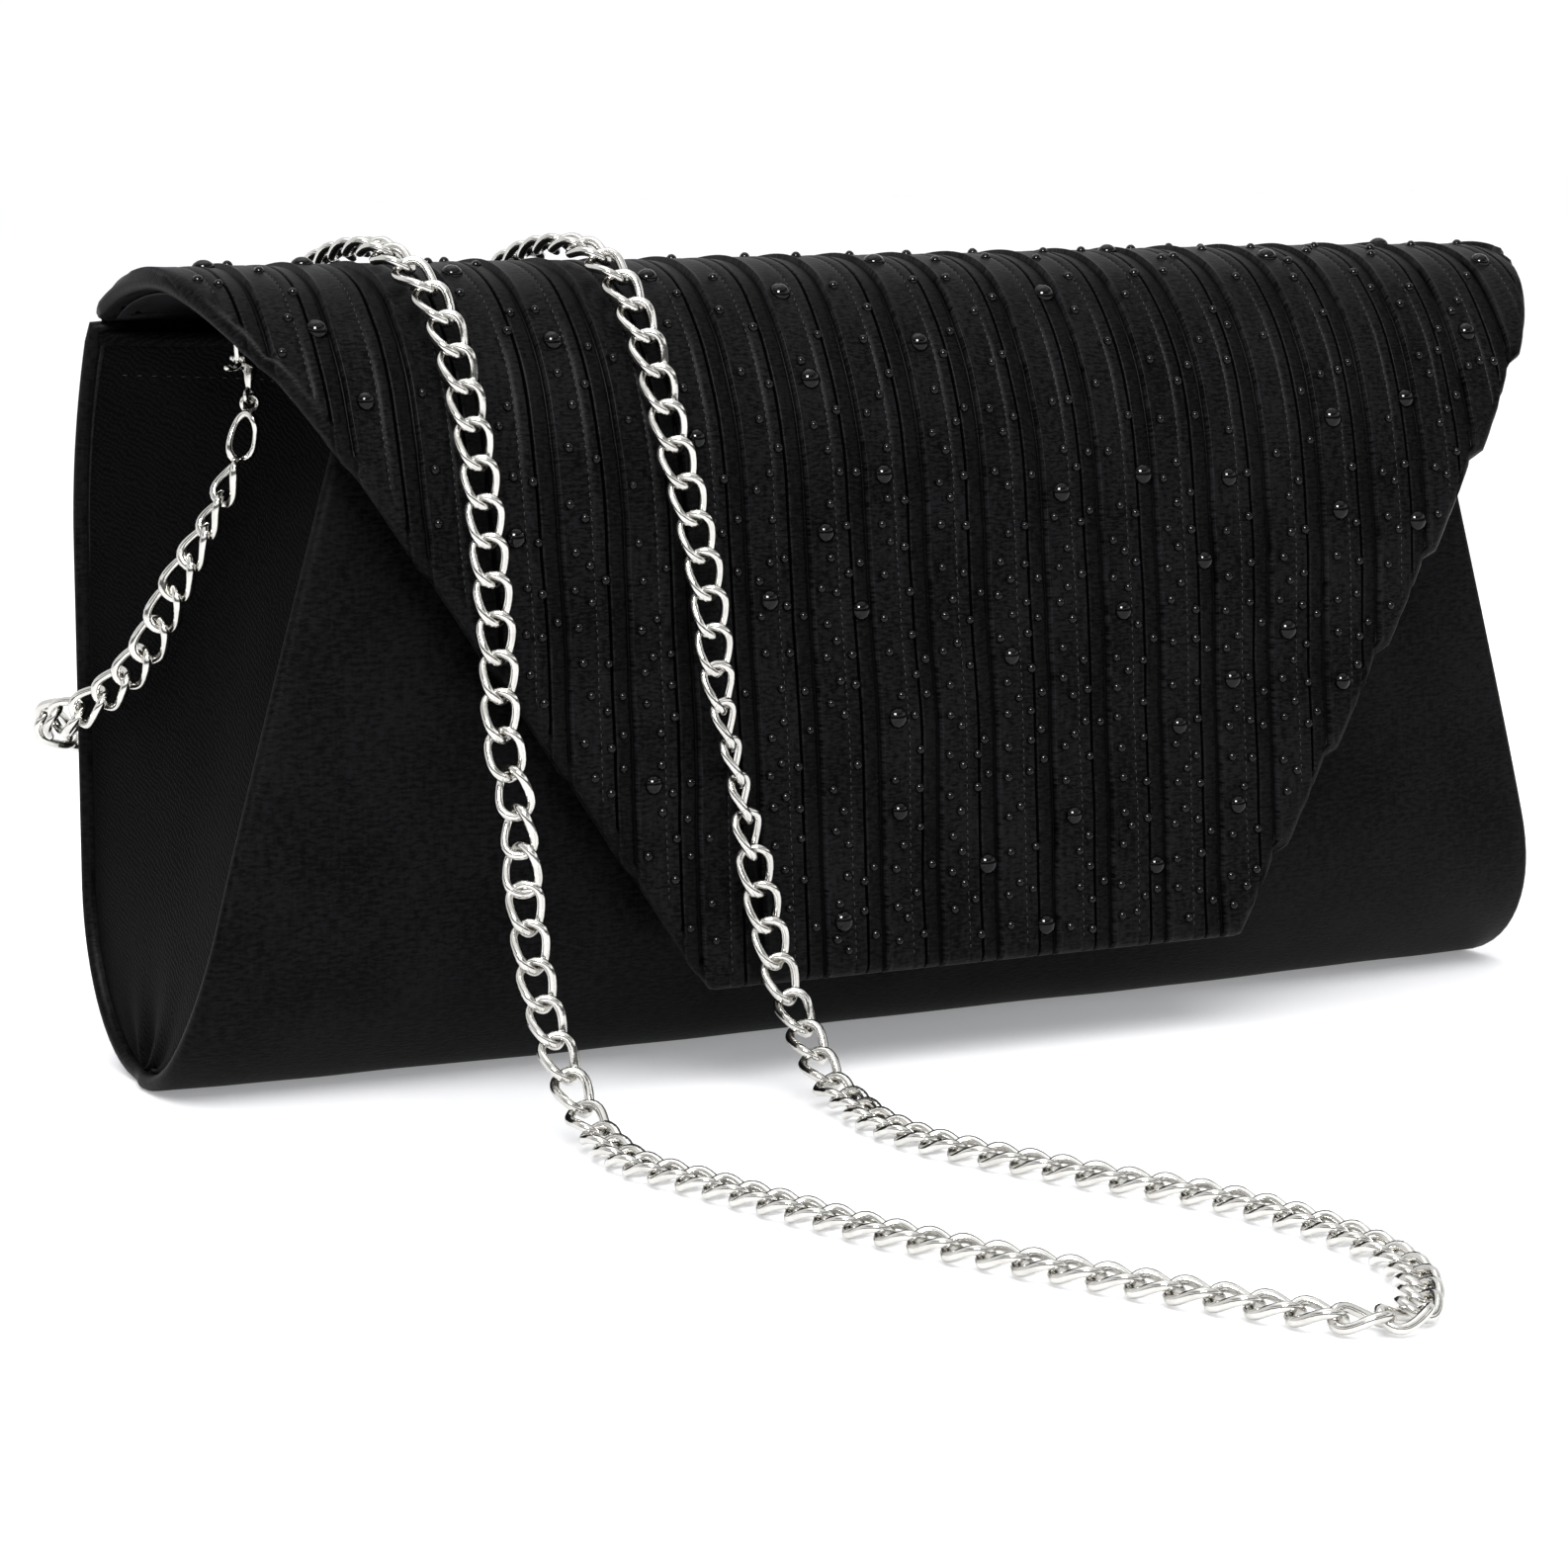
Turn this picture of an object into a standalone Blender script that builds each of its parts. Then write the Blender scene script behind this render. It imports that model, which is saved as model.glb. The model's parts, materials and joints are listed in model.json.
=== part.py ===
"""Evening bag: a pleated satin envelope clutch with a chain strap draped over its flap.

Metres, +Z up. X runs along the bag, the front faces -Y, and the bag stands on Z = 0 with the
origin under the middle of its box. Run with: blender --background --python part.py
"""

import math

import bmesh
import bpy
from mathutils import Matrix, Vector

COLLECTION = "evening_bag"
GAP = 0.0003  # kept between pieces that touch

# Body: a U of two walls and a rounded bottom
HALF_LENGTH = 0.133
BACK_Y = 0.0385
FRONT_Y = -0.0183
CORNER_HEIGHT = 0.030  # where the rounded bottom meets the walls
BACK_TOP = 0.1262
FRONT_TOP = 0.115
LEAN_START = 0.088  # the back wall leans in above this
BACK_LEAN = 0.0100
FLAT_AT_ENDS = 0.0025  # half width of the flat strip that the bag stands on
FLAT_AT_MIDDLE = 0.0080
FRONT_BULGE = 0.0075
BULGE_FULL = 0.030  # the front bulge is full from here
BULGE_FADE = 0.060  # and fades from here
BULGE_FADE_SPAN = 0.050
FRONT_FLARE = 0.29  # how fast the front wall widens downwards
FLARE_ROUND = 0.018
FRONT_HALF_FOOT = 0.1343
FOLD_K = 3.40  # where the front wall folds on the bottom, in turns of body_outer
FOLD_ROOM = 0.035

# Wall layers, as depths below the outer face
COVER_THICK = 0.0007
BOARD_DEPTH = 0.0010
BOARD_THICK = 0.0010
WASHER_DEPTH = 0.0023
LINING_DEPTH = 0.0029
LINING_THICK = 0.0004
POCKET_DEPTH = 0.0041
POCKET_THICK = 0.0006

# End gussets
GUSSET_DEPTH = 0.0047
GUSSET_THICK = 0.0010
GUSSET_SETBACK = 0.0018
GUSSET_TOP = 0.1233
GUSSET_FRONT_TOP = 0.1140
GUSSET_HOLLOW = 0.0050

# Flap: its outer face from the back edge over the top and down the front, as (y, z)
FLAP_PROFILE = [
    (0.0285, 0.1283),
    (0.0175, 0.1328),
    (0.0020, 0.1349),
    (-0.0095, 0.1325),
    (-0.0176, 0.1262),
    (-0.0240, 0.1170),
    (-0.0285, 0.1045),
    (-0.0310, 0.0885),
    (-0.0333, 0.0660),
    (-0.0352, 0.0420),
    (-0.0368, 0.0165),
]
TIP_HALF_WIDTH = 0.052
EDGE_SLOPE = 0.67  # half width gained for each metre away from the tip
EDGE_SOFTNESS = 0.006
FLAP_COVER_THICK = 0.0014
FLAP_WASHER_DEPTH = 0.0017
FLAP_BOARD_DEPTH = 0.0023
FLAP_BOARD_THICK = 0.0009
FLAP_LINING_DEPTH = 0.0035
FLAP_LINING_THICK = 0.0004
FLAP_STACK = 0.0039

# Magnetic snap
SNAP_HEIGHT = 0.042
SNAP_RADIUS = 0.009
SOCKET_THICK = 0.0030
SOCKET_HOLE = 0.0033
STUD_THICK = 0.0010
STUD_NOSE = 0.0025
WASHER_THICK = 0.0003
PRONG_SIZE = (0.0050, 0.0006)
PRONG_APART = 0.0045
SLOT_SIZE = (0.0058, 0.0014)

# Strap hardware. The clasp hangs in its own frame: x away from the bag, z up, origin in the ring
RING_RADIUS = 0.0055
RING_WIRE = 0.0008
HOOK_PLACE = Vector((0.1152, 0.0016, 0.1259))
OUTWARD = Vector((0.826, -0.564, 0.0))
CLASP_TILT = math.radians(3)
CLASP_THICK = 0.0030
JUMP_RADIUS = 0.0022
JUMP_WIRE = 0.0005
PIVOT = Vector((0.0025, 0, -0.0053))
EYE_HEIGHT = -0.0104

# Chain strap, laid as a plain tube of the chain's weight
CHAIN_RADIUS = 0.00135
CHAIN_STEP = 0.0155
BENT_CHAIN_STEP = 0.0105  # finer where the chain bends over the flap and on the table
FLAP_CHAIN_LIFT = 0.0027  # the least that its middle stands off the flap
ROUTES = {
    "strap_left_tail": [
        (-0.1163, 0.0002, 0.1093),
        (-0.1172, 0.0012, 0.1040),
        (-0.1207, 0.0045, 0.0941),
        (-0.1250, 0.0098, 0.0830),
        (-0.1284, 0.0155, 0.0718),
        (-0.1318, 0.0222, 0.0650),
        (-0.1360, 0.0300, 0.0600),
        (-0.1376, 0.0360, 0.0590),
        (-0.1376, 0.0400, 0.0575),
        (-0.1350, 0.0423, 0.0560),
    ],
    "strap_left_back": [
        (-0.1305, 0.0423, 0.0545),
        (-0.1235, 0.0417, 0.0560),
        (-0.1145, 0.0412, 0.0625),
        (-0.1065, 0.0410, 0.0780),
        (-0.1005, 0.0403, 0.0970),
        (-0.0965, 0.0372, 0.1150),
    ],
    "strap_left_front": [
        (-0.0936, 0.0190, 0.1352),
        (-0.0935, 0.0100, 0.1371),
        (-0.0935, 0.0000, 0.1376),
        (-0.0934, -0.0089, 0.1348),
        (-0.0916, -0.0140, 0.1316),
        (-0.0905, -0.0200, 0.1265),
        (-0.0902, -0.0240, 0.1215),
        (-0.0898, -0.0288, 0.1122),
        (-0.0892, -0.0319, 0.1029),
        (-0.0887, -0.0334, 0.0936),
        (-0.0880, -0.0356, 0.0748),
        (-0.0887, -0.0385, 0.0620),
        (-0.0875, -0.0408, 0.0510),
        (-0.0877, -0.0440, 0.0377),
        (-0.0878, -0.0490, 0.0234),
        (-0.0868, -0.0545, 0.0133),
    ],
    "strap_loop": [
        (-0.0861, -0.0595, 0.0070),
        (-0.0862, -0.0660, 0.0034),
        (-0.0876, -0.0768, 0.0021),
        (-0.0880, -0.0875, 0.0021),
        (-0.0845, -0.1020, 0.0021),
        (-0.0808, -0.1180, 0.0021),
        (-0.0750, -0.1401, 0.0021),
        (-0.0640, -0.1680, 0.0021),
        (-0.0480, -0.2005, 0.0021),
        (-0.0425, -0.2090, 0.0021),
        (-0.0355, -0.2105, 0.0021),
        (-0.0285, -0.2035, 0.0021),
        (-0.0222, -0.1930, 0.0021),
        (-0.0185, -0.1795, 0.0021),
        (-0.0184, -0.1631, 0.0021),
        (-0.0220, -0.1441, 0.0021),
        (-0.0295, -0.1272, 0.0021),
        (-0.0373, -0.1074, 0.0021),
        (-0.0416, -0.0925, 0.0021),
        (-0.0421, -0.0776, 0.0021),
        (-0.0405, -0.0670, 0.0026),
        (-0.0396, -0.0575, 0.0040),
    ],
    "strap_right_front": [
        (-0.0582, 0.0190, 0.1352),
        (-0.0581, 0.0100, 0.1371),
        (-0.0580, 0.0000, 0.1376),
        (-0.0572, -0.0089, 0.1348),
        (-0.0566, -0.0140, 0.1316),
        (-0.0561, -0.0200, 0.1265),
        (-0.0558, -0.0240, 0.1215),
        (-0.0551, -0.0285, 0.1130),
        (-0.0540, -0.0316, 0.1045),
        (-0.0520, -0.0332, 0.0950),
        (-0.0500, -0.0348, 0.0822),
        (-0.0488, -0.0365, 0.0661),
        (-0.0460, -0.0382, 0.0500),
        (-0.0435, -0.0391, 0.0366),
        (-0.0415, -0.0398, 0.0265),
        (-0.0397, -0.0412, 0.0182),
        (-0.0388, -0.0440, 0.0136),
        (-0.0389, -0.0475, 0.0102),
    ],
    "strap_right_back": [
        (-0.0590, 0.0372, 0.1150),
        (-0.0565, 0.0403, 0.0970),
        (-0.0490, 0.0410, 0.0720),
        (-0.0350, 0.0412, 0.0480),
        (-0.0140, 0.0416, 0.0290),
        (0.0130, 0.0418, 0.0165),
        (0.0430, 0.0420, 0.0125),
        (0.0730, 0.0420, 0.0165),
        (0.1000, 0.0421, 0.0275),
        (0.1200, 0.0422, 0.0395),
        (0.1305, 0.0423, 0.0530),
    ],
    "strap_right_tail": [
        (0.1163, 0.0002, 0.1093),
        (0.1172, 0.0012, 0.1040),
        (0.1207, 0.0045, 0.0941),
        (0.1250, 0.0098, 0.0830),
        (0.1284, 0.0155, 0.0718),
        (0.1318, 0.0222, 0.0650),
        (0.1360, 0.0300, 0.0600),
        (0.1376, 0.0360, 0.0590),
        (0.1376, 0.0400, 0.0575),
        (0.1350, 0.0423, 0.0560),
    ],
}

COLOURS = {
    "satin": ((0.012, 0.012, 0.014), 0.42, 0.0),
    "gusset": ((0.010, 0.010, 0.012), 0.60, 0.0),
    "lining": ((0.020, 0.020, 0.023), 0.50, 0.0),
    "board": ((0.300, 0.260, 0.210), 0.90, 0.0),
    "silver": ((0.820, 0.810, 0.790), 0.18, 1.0),
}


def clear_scene():
    for old in list(bpy.data.objects):
        bpy.data.objects.remove(old, do_unlink=True)
    for old in list(bpy.data.collections):
        bpy.data.collections.remove(old)


def new_collection(name):
    made = bpy.data.collections.new(name)
    bpy.context.scene.collection.children.link(made)
    return made


def material(name):
    made = bpy.data.materials.get(name)
    if made:
        return made
    colour, roughness, metallic = COLOURS[name]
    made = bpy.data.materials.new(name)
    made.use_nodes = True
    shader = made.node_tree.nodes["Principled BSDF"]
    shader.inputs["Base Color"].default_value = (*colour, 1)
    shader.inputs["Roughness"].default_value = roughness
    shader.inputs["Metallic"].default_value = metallic
    return made


def add_object(name, bm, look, collection):
    mesh = bpy.data.meshes.new(name)
    bm.to_mesh(mesh)
    bm.free()
    made = bpy.data.objects.new(name, mesh)
    collection.objects.link(made)
    made.data.materials.append(material(look))
    return made


def soften(made, degrees=40):
    made.data.shade_smooth()
    made.data.set_sharp_from_angle(angle=math.radians(degrees))


def lerp(a, b, t):
    return a + (b - a) * t


def smooth(t):
    t = min(max(t, 0.0), 1.0)
    return t * t * (3 - 2 * t)


# ---------------------------------------------------------------- body section


def front_half_width(z):
    return FRONT_HALF_FOOT - FRONT_FLARE * (math.hypot(z, FLARE_ROUND) - FLARE_ROUND)


def body_outer(k, u):
    """The body's outer face. k runs down the back (0 to 1), round the back corner (to 2), under
    the flat (to 3), round the front corner (to 4) and up the front (to 5); u runs -1 to 1."""
    middle = (BACK_Y + FRONT_Y) / 2
    half = (BACK_Y - FRONT_Y) / 2
    flat = FLAT_AT_ENDS + (FLAT_AT_MIDDLE - FLAT_AT_ENDS) * (1 - u * u)
    width = HALF_LENGTH
    if k <= 1:
        z = lerp(BACK_TOP, CORNER_HEIGHT, k)
        rise = max(0.0, z - LEAN_START) / (BACK_TOP - LEAN_START)
        y = BACK_Y - BACK_LEAN * rise**2
    elif k <= 2:
        turn = (k - 1) * math.pi / 2
        y = middle + flat + (half - flat) * math.cos(turn)
        z = CORNER_HEIGHT * (1 - math.sin(turn))
    elif k <= 3:
        y = middle + flat * (5 - 2 * k)
        z = 0.0
        width = lerp(HALF_LENGTH, FRONT_HALF_FOOT, k - 2)
    elif k <= 4:
        turn = (k - 3) * math.pi / 2
        y = middle - flat - (half - flat) * math.sin(turn)
        z = CORNER_HEIGHT * (1 - math.cos(turn))
        width = front_half_width(z)
    else:
        y = FRONT_Y
        z = lerp(CORNER_HEIGHT, FRONT_TOP, k - 4)
        width = front_half_width(z)
    if k > 3:
        swell = smooth(z / BULGE_FULL) * (1 - smooth((z - BULGE_FADE) / BULGE_FADE_SPAN))
        y -= FRONT_BULGE * (1 - u * u) * swell
    return Vector((u * width, y, z))


def body_layer(k, u, depth):
    """The point of the body's section that lies depth below its outer face."""
    step = 1e-4
    along = body_outer(k + step, u) - body_outer(k - step, u)
    outward = Vector((0, -along.z, along.y)).normalized()
    return body_outer(k, u) - outward * depth


def mapped_sheet(name, look, collection, place, columns, rows, thickness, offset=-1.0):
    """A grid bent to place(u, t), with u and t from -1 to 1 and 0 to 1, then given thickness."""
    bm = bmesh.new()
    bmesh.ops.create_grid(bm, x_segments=columns, y_segments=rows, size=1)
    for vert in bm.verts:
        vert.co = place(vert.co.x, (vert.co.y + 1) / 2)
    made = add_object(name, bm, look, collection)
    solid = made.modifiers.new("thickness", "SOLIDIFY")
    solid.thickness = thickness
    solid.offset = offset
    soften(made)
    return made


def wall(name, look, collection, k_range, depth, thickness, columns, rows, inset=0.0):
    def place(u, t):
        point = body_layer(lerp(*k_range, t), u, depth)
        point.x -= u * inset
        return point

    return mapped_sheet(name, look, collection, place, columns, rows, thickness)


def make_body(parts):
    fold = FOLD_K - FOLD_ROOM
    wall("back_cover", "satin", parts, (0.0, fold), 0.0, COVER_THICK, 8, 20)
    wall("back_board", "board", parts, (0.03, 0.97), BOARD_DEPTH, BOARD_THICK, 2, 6, 0.0015)
    wall("bottom_board", "board", parts, (1.03, fold - 0.03), BOARD_DEPTH, BOARD_THICK, 8, 14, 0.0015)
    wall("back_lining", "lining", parts, (0.03, fold), LINING_DEPTH, LINING_THICK, 8, 20, 0.0010)

    def pocket(u, t):
        point = body_layer(lerp(0.18, 0.92, t), 0, POCKET_DEPTH)
        point.x = u * 0.075
        return point

    mapped_sheet("slip_pocket", "lining", parts, pocket, 1, 6, POCKET_THICK)


def make_front(parts):
    fold = FOLD_K + FOLD_ROOM
    cover = wall("front_cover", "satin", parts, (fold, 5.0), 0.0, COVER_THICK, 12, 14)
    board = wall(
        "front_board", "board", parts, (fold + 0.15, 4.97), BOARD_DEPTH, BOARD_THICK, 12, 12, 0.0015
    )
    wall("front_lining", "lining", parts, (fold, 4.97), LINING_DEPTH, LINING_THICK, 12, 14, 0.0010)
    return cover, board


def gusset_point(side, v, q):
    """A point of an end gusset: v runs from the back wall to the front one, q from the bottom up."""
    middle = (BACK_Y + FRONT_Y) / 2
    reach = (BACK_Y - FRONT_Y) / 2 - FLAT_AT_ENDS - GUSSET_DEPTH
    top = lerp(GUSSET_TOP, GUSSET_FRONT_TOP, smooth((v - 0.55) / 0.45))
    corner = 0.4
    if q < corner:
        turn = q / corner * math.pi / 2
        z = GUSSET_DEPTH + (CORNER_HEIGHT - GUSSET_DEPTH) * (1 - math.cos(turn))
        spread = FLAT_AT_ENDS + reach * math.sin(turn)
    else:
        z = lerp(CORNER_HEIGHT, top, (q - corner) / (1 - corner))
        spread = FLAT_AT_ENDS + reach
    lean = BACK_LEAN * (max(0.0, z - LEAN_START) / (BACK_TOP - LEAN_START)) ** 2
    back = middle + spread - lean
    front = middle - spread
    x = lerp(HALF_LENGTH, front_half_width(z), v) - GUSSET_SETBACK
    x -= GUSSET_HOLLOW * math.sin(math.pi * v) * z / GUSSET_TOP
    return Vector((side * x, lerp(back, front, v), z))


def make_gusset(name, side, parts):
    def place(u, t):
        v = (1 + side * u) / 2
        return gusset_point(side, 1 - v, t)

    mapped_sheet(name, "gusset", parts, place, 8, 14, GUSSET_THICK, offset=0.0)


# ------------------------------------------------------------------------ flap


def spline_point(points, t):
    """A point at t, from 0 to 1, of the smooth curve through points."""
    count = len(points) - 1
    index = min(int(t * count), count - 1)
    local = t * count - index
    before = points[max(index - 1, 0)]
    start = points[index]
    end = points[index + 1]
    after = points[min(index + 2, count)]
    return 0.5 * (
        2 * start
        + (end - before) * local
        + (2 * before - 5 * start + 4 * end - after) * local**2
        + (3 * start - before - 3 * end + after) * local**3
    )


FLAP_SAMPLES = 400
FLAP_LINE = [
    spline_point([Vector(p) for p in FLAP_PROFILE], i / FLAP_SAMPLES) for i in range(FLAP_SAMPLES + 1)
]
FLAP_STEPS = [0.0]
for first, second in zip(FLAP_LINE, FLAP_LINE[1:]):
    FLAP_STEPS.append(FLAP_STEPS[-1] + (second - first).length)
FLAP_REACH = FLAP_STEPS[-1]


def flap_section(run):
    """The flap's outer face at a run along it from the back edge: the point and the outward way."""
    run = min(max(run, 0.0), FLAP_REACH)
    index = next(i for i in range(FLAP_SAMPLES) if FLAP_STEPS[i + 1] >= run)
    here = FLAP_LINE[index]
    ahead = FLAP_LINE[index + 1]
    share = (run - FLAP_STEPS[index]) / (FLAP_STEPS[index + 1] - FLAP_STEPS[index])
    along = ahead - here
    return here.lerp(ahead, share), Vector((along.y, -along.x)).normalized()


def flap_half_width(run):
    sloping = TIP_HALF_WIDTH + EDGE_SLOPE * (FLAP_REACH - run)
    return 0.5 * (sloping + HALF_LENGTH - math.hypot(sloping - HALF_LENGTH, EDGE_SOFTNESS))


def flap_point(x, run, depth):
    point, outward = flap_section(run)
    return Vector((x, point.x - outward.x * depth, point.y - outward.y * depth))


def flap_layer(name, look, collection, start, end_gap, depth, thickness, inset):
    def place(u, t):
        run = lerp(FLAP_REACH - end_gap, start, t)
        return flap_point(u * (flap_half_width(run) - inset), run, depth)

    return mapped_sheet(name, look, collection, place, 1, 26, thickness)


def make_flap(parts):
    flap_layer("flap_cover", "satin", parts, 0.0012, 0.0, 0.0, FLAP_COVER_THICK, 0.0)
    board = flap_layer(
        "flap_board", "board", parts, 0.0040, 0.0025, FLAP_BOARD_DEPTH, FLAP_BOARD_THICK, 0.0038
    )
    lining = flap_layer(
        "flap_lining", "lining", parts, 0.0030, 0.0010, FLAP_LINING_DEPTH, FLAP_LINING_THICK, 0.0010
    )
    return board, lining


def run_at_height(height):
    """The run along the flap's front where its outer face is at a height."""
    for index in range(FLAP_SAMPLES, 0, -1):
        if FLAP_LINE[index].y >= height:
            return FLAP_STEPS[index]
    return 0.0


# ---------------------------------------------------------------- small shapes


def cylinder_mesh(radius, length, segments, centre, axis):
    """A closed cylinder along an axis, as a bmesh."""
    bm = bmesh.new()
    turn = Vector((0, 0, 1)).rotation_difference(Vector(axis)).to_matrix().to_4x4()
    bmesh.ops.create_cone(
        bm,
        cap_ends=True,
        segments=segments,
        radius1=radius,
        radius2=radius,
        depth=length,
        matrix=Matrix.Translation(centre) @ turn,
    )
    return bm


def box_mesh(size, centre):
    bm = bmesh.new()
    bmesh.ops.create_cube(bm, size=1, matrix=Matrix.Translation(centre) @ Matrix.Diagonal((*size, 1)))
    return bm


def plate_mesh(outline, thickness):
    """A flat plate across y from an outline of (x, z) points."""
    bm = bmesh.new()
    verts = [bm.verts.new((x, -thickness / 2, z)) for x, z in outline]
    face = bm.faces.new(verts)
    raised = bmesh.ops.extrude_face_region(bm, geom=[face])["geom"]
    bmesh.ops.translate(
        bm, verts=[g for g in raised if isinstance(g, bmesh.types.BMVert)], vec=(0, thickness, 0)
    )
    bmesh.ops.recalc_face_normals(bm, faces=bm.faces)
    return bm


def cutter(name, bm, cutters):
    made = add_object(name, bm, "board", cutters)
    made.hide_render = True
    made.display_type = "WIRE"
    return made


def boolean(target, tool, operation):
    step = target.modifiers.new(operation.lower(), "BOOLEAN")
    step.operation = operation
    step.solver = "EXACT"
    step.object = tool
    return step


# -------------------------------------------------------------- magnetic snap


def slots(frame, reach, cutters, name):
    made = []
    for row in (-1, 1):
        size = (SLOT_SIZE[0], reach, SLOT_SIZE[1])
        slot = cutter(f"{name}_slot_{row + 1}", box_mesh(size, (0, 0, row * PRONG_APART)), cutters)
        slot.matrix_world = frame
        made.append(slot)
    return made


def make_snap(parts, cutters, front_layers, flap_layers):
    front_face = FRONT_Y - FRONT_BULGE
    front_frame = Matrix.Translation((0, front_face, SNAP_HEIGHT))
    body = cylinder_mesh(SNAP_RADIUS, SOCKET_THICK, 32, (0, -GAP - SOCKET_THICK / 2, 0), (0, 1, 0))
    socket = add_object("snap_socket", body, "silver", parts)
    socket.matrix_world = front_frame
    hole = cutter(
        "socket_hole",
        cylinder_mesh(SOCKET_HOLE, 0.0040, 24, (0, -GAP - SOCKET_THICK, 0), (0, 1, 0)),
        cutters,
    )
    hole.matrix_world = front_frame
    boolean(socket, hole, "DIFFERENCE")
    overlap = 0.0006
    prong_start = -GAP - overlap
    prong_end = WASHER_DEPTH + WASHER_THICK + 0.0001
    for row in (-1, 1):
        size = (PRONG_SIZE[0], prong_end - prong_start, PRONG_SIZE[1])
        centre = (0, (prong_start + prong_end) / 2, row * 2 * PRONG_APART / 2)
        prong = cutter(f"socket_prong_{row + 1}", box_mesh(size, centre), cutters)
        prong.matrix_world = front_frame
        boolean(socket, prong, "UNION")
    washer = add_object(
        "socket_washer",
        cylinder_mesh(SNAP_RADIUS, WASHER_THICK, 24, (0, WASHER_DEPTH + WASHER_THICK / 2, 0), (0, 1, 0)),
        "silver",
        parts,
    )
    washer.matrix_world = front_frame
    front_slots = slots(front_frame, 0.012, cutters, "front")
    for layer in (*front_layers, washer):
        for slot in front_slots:
            boolean(layer, slot, "DIFFERENCE")

    run = run_at_height(SNAP_HEIGHT)
    origin = flap_point(0, run, 0)
    outward = flap_section(run)[1]
    lean = math.atan2(outward.y, -outward.x)
    flap_frame = Matrix.Translation(origin) @ Matrix.Rotation(-lean, 4, "X")
    plate_middle = FLAP_STACK + GAP + STUD_THICK / 2
    plate = cylinder_mesh(SNAP_RADIUS, STUD_THICK, 32, (0, plate_middle, 0), (0, 1, 0))
    stud = add_object("snap_stud", plate, "silver", parts)
    stud.matrix_world = flap_frame
    nose_end = FLAP_STACK + GAP + STUD_THICK + 0.0012
    nose = cutter(
        "stud_nose",
        cylinder_mesh(STUD_NOSE, 0.0018, 24, (0, nose_end - 0.0009, 0), (0, 1, 0)),
        cutters,
    )
    nose.matrix_world = flap_frame
    boolean(stud, nose, "UNION")
    prong_start = FLAP_WASHER_DEPTH - 0.0001
    prong_end = FLAP_STACK + GAP + overlap
    for row in (-1, 1):
        size = (PRONG_SIZE[0], prong_end - prong_start, PRONG_SIZE[1])
        centre = (0, (prong_start + prong_end) / 2, row * PRONG_APART)
        prong = cutter(f"stud_prong_{row + 1}", box_mesh(size, centre), cutters)
        prong.matrix_world = flap_frame
        boolean(stud, prong, "UNION")
    washer = add_object(
        "stud_washer",
        cylinder_mesh(
            SNAP_RADIUS, WASHER_THICK, 24, (0, FLAP_WASHER_DEPTH + WASHER_THICK / 2, 0), (0, 1, 0)
        ),
        "silver",
        parts,
    )
    washer.matrix_world = flap_frame
    flap_slots = slots(flap_frame, 0.012, cutters, "flap")
    for layer in (*flap_layers, washer):
        for slot in flap_slots:
            boolean(layer, slot, "DIFFERENCE")


# -------------------------------------------------------------- strap hardware


def side_frame(side):
    """The clasp's own frame on one side of the bag, upright, with its origin in the ring's wire."""
    outward = Vector((side * OUTWARD.x, OUTWARD.y, 0)).normalized()
    along = Vector((0, 0, 1)).cross(outward)
    place = Vector((side * HOOK_PLACE.x, HOOK_PLACE.y, HOOK_PLACE.z))
    turn = Matrix((outward, along, (0, 0, 1))).transposed().to_4x4()
    return Matrix.Translation(place) @ turn


def ellipse_arc(centre, radii, start, end, count):
    """Points of an ellipse from one angle to another, in degrees."""
    points = []
    for i in range(count + 1):
        angle = math.radians(lerp(start, end, i / count))
        points.append((centre[0] + radii[0] * math.cos(angle), centre[1] + radii[1] * math.sin(angle)))
    return points


def torus(name, look, parts, frame, major, minor, normal, segments=28, sides=8):
    """A closed ring made by turning a small circle about the normal."""
    bm = bmesh.new()
    loops = []
    for i in range(segments):
        angle = 2 * math.pi * i / segments
        loop = []
        for j in range(sides):
            around = 2 * math.pi * j / sides
            reach = major + minor * math.cos(around)
            point = (reach * math.cos(angle), reach * math.sin(angle), minor * math.sin(around))
            loop.append(bm.verts.new(point))
        loops.append(loop)
    for i in range(segments):
        for j in range(sides):
            here, ahead = loops[i], loops[(i + 1) % segments]
            bm.faces.new((here[j], ahead[j], ahead[(j + 1) % sides], here[(j + 1) % sides]))
    turn = Vector((0, 0, 1)).rotation_difference(Vector(normal)).to_matrix().to_4x4()
    bm.transform(turn)
    bmesh.ops.recalc_face_normals(bm, faces=bm.faces)
    made = add_object(name, bm, look, parts)
    made.matrix_world = frame
    soften(made, 60)
    return made


def claw_outline():
    outer = ellipse_arc((0, -0.0034), (0.0037, 0.0060), 25, 330, 26)
    inner = ellipse_arc((0, -0.0022), (0.0019, 0.0033), 320, 28, 22)
    return outer + inner


TRIGGER_OUTLINE = [
    (0.00190, -0.00125),
    (0.00212, -0.00220),
    (0.00190, -0.00400),
    (0.00165, -0.00540),
    (0.00190, -0.00640),
    (0.00340, -0.00670),
    (0.00520, -0.00710),
    (0.00575, -0.00640),
    (0.00500, -0.00570),
    (0.00390, -0.00510),
    (0.00372, -0.00340),
    (0.00358, -0.00200),
    (0.00335, -0.00125),
]


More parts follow.
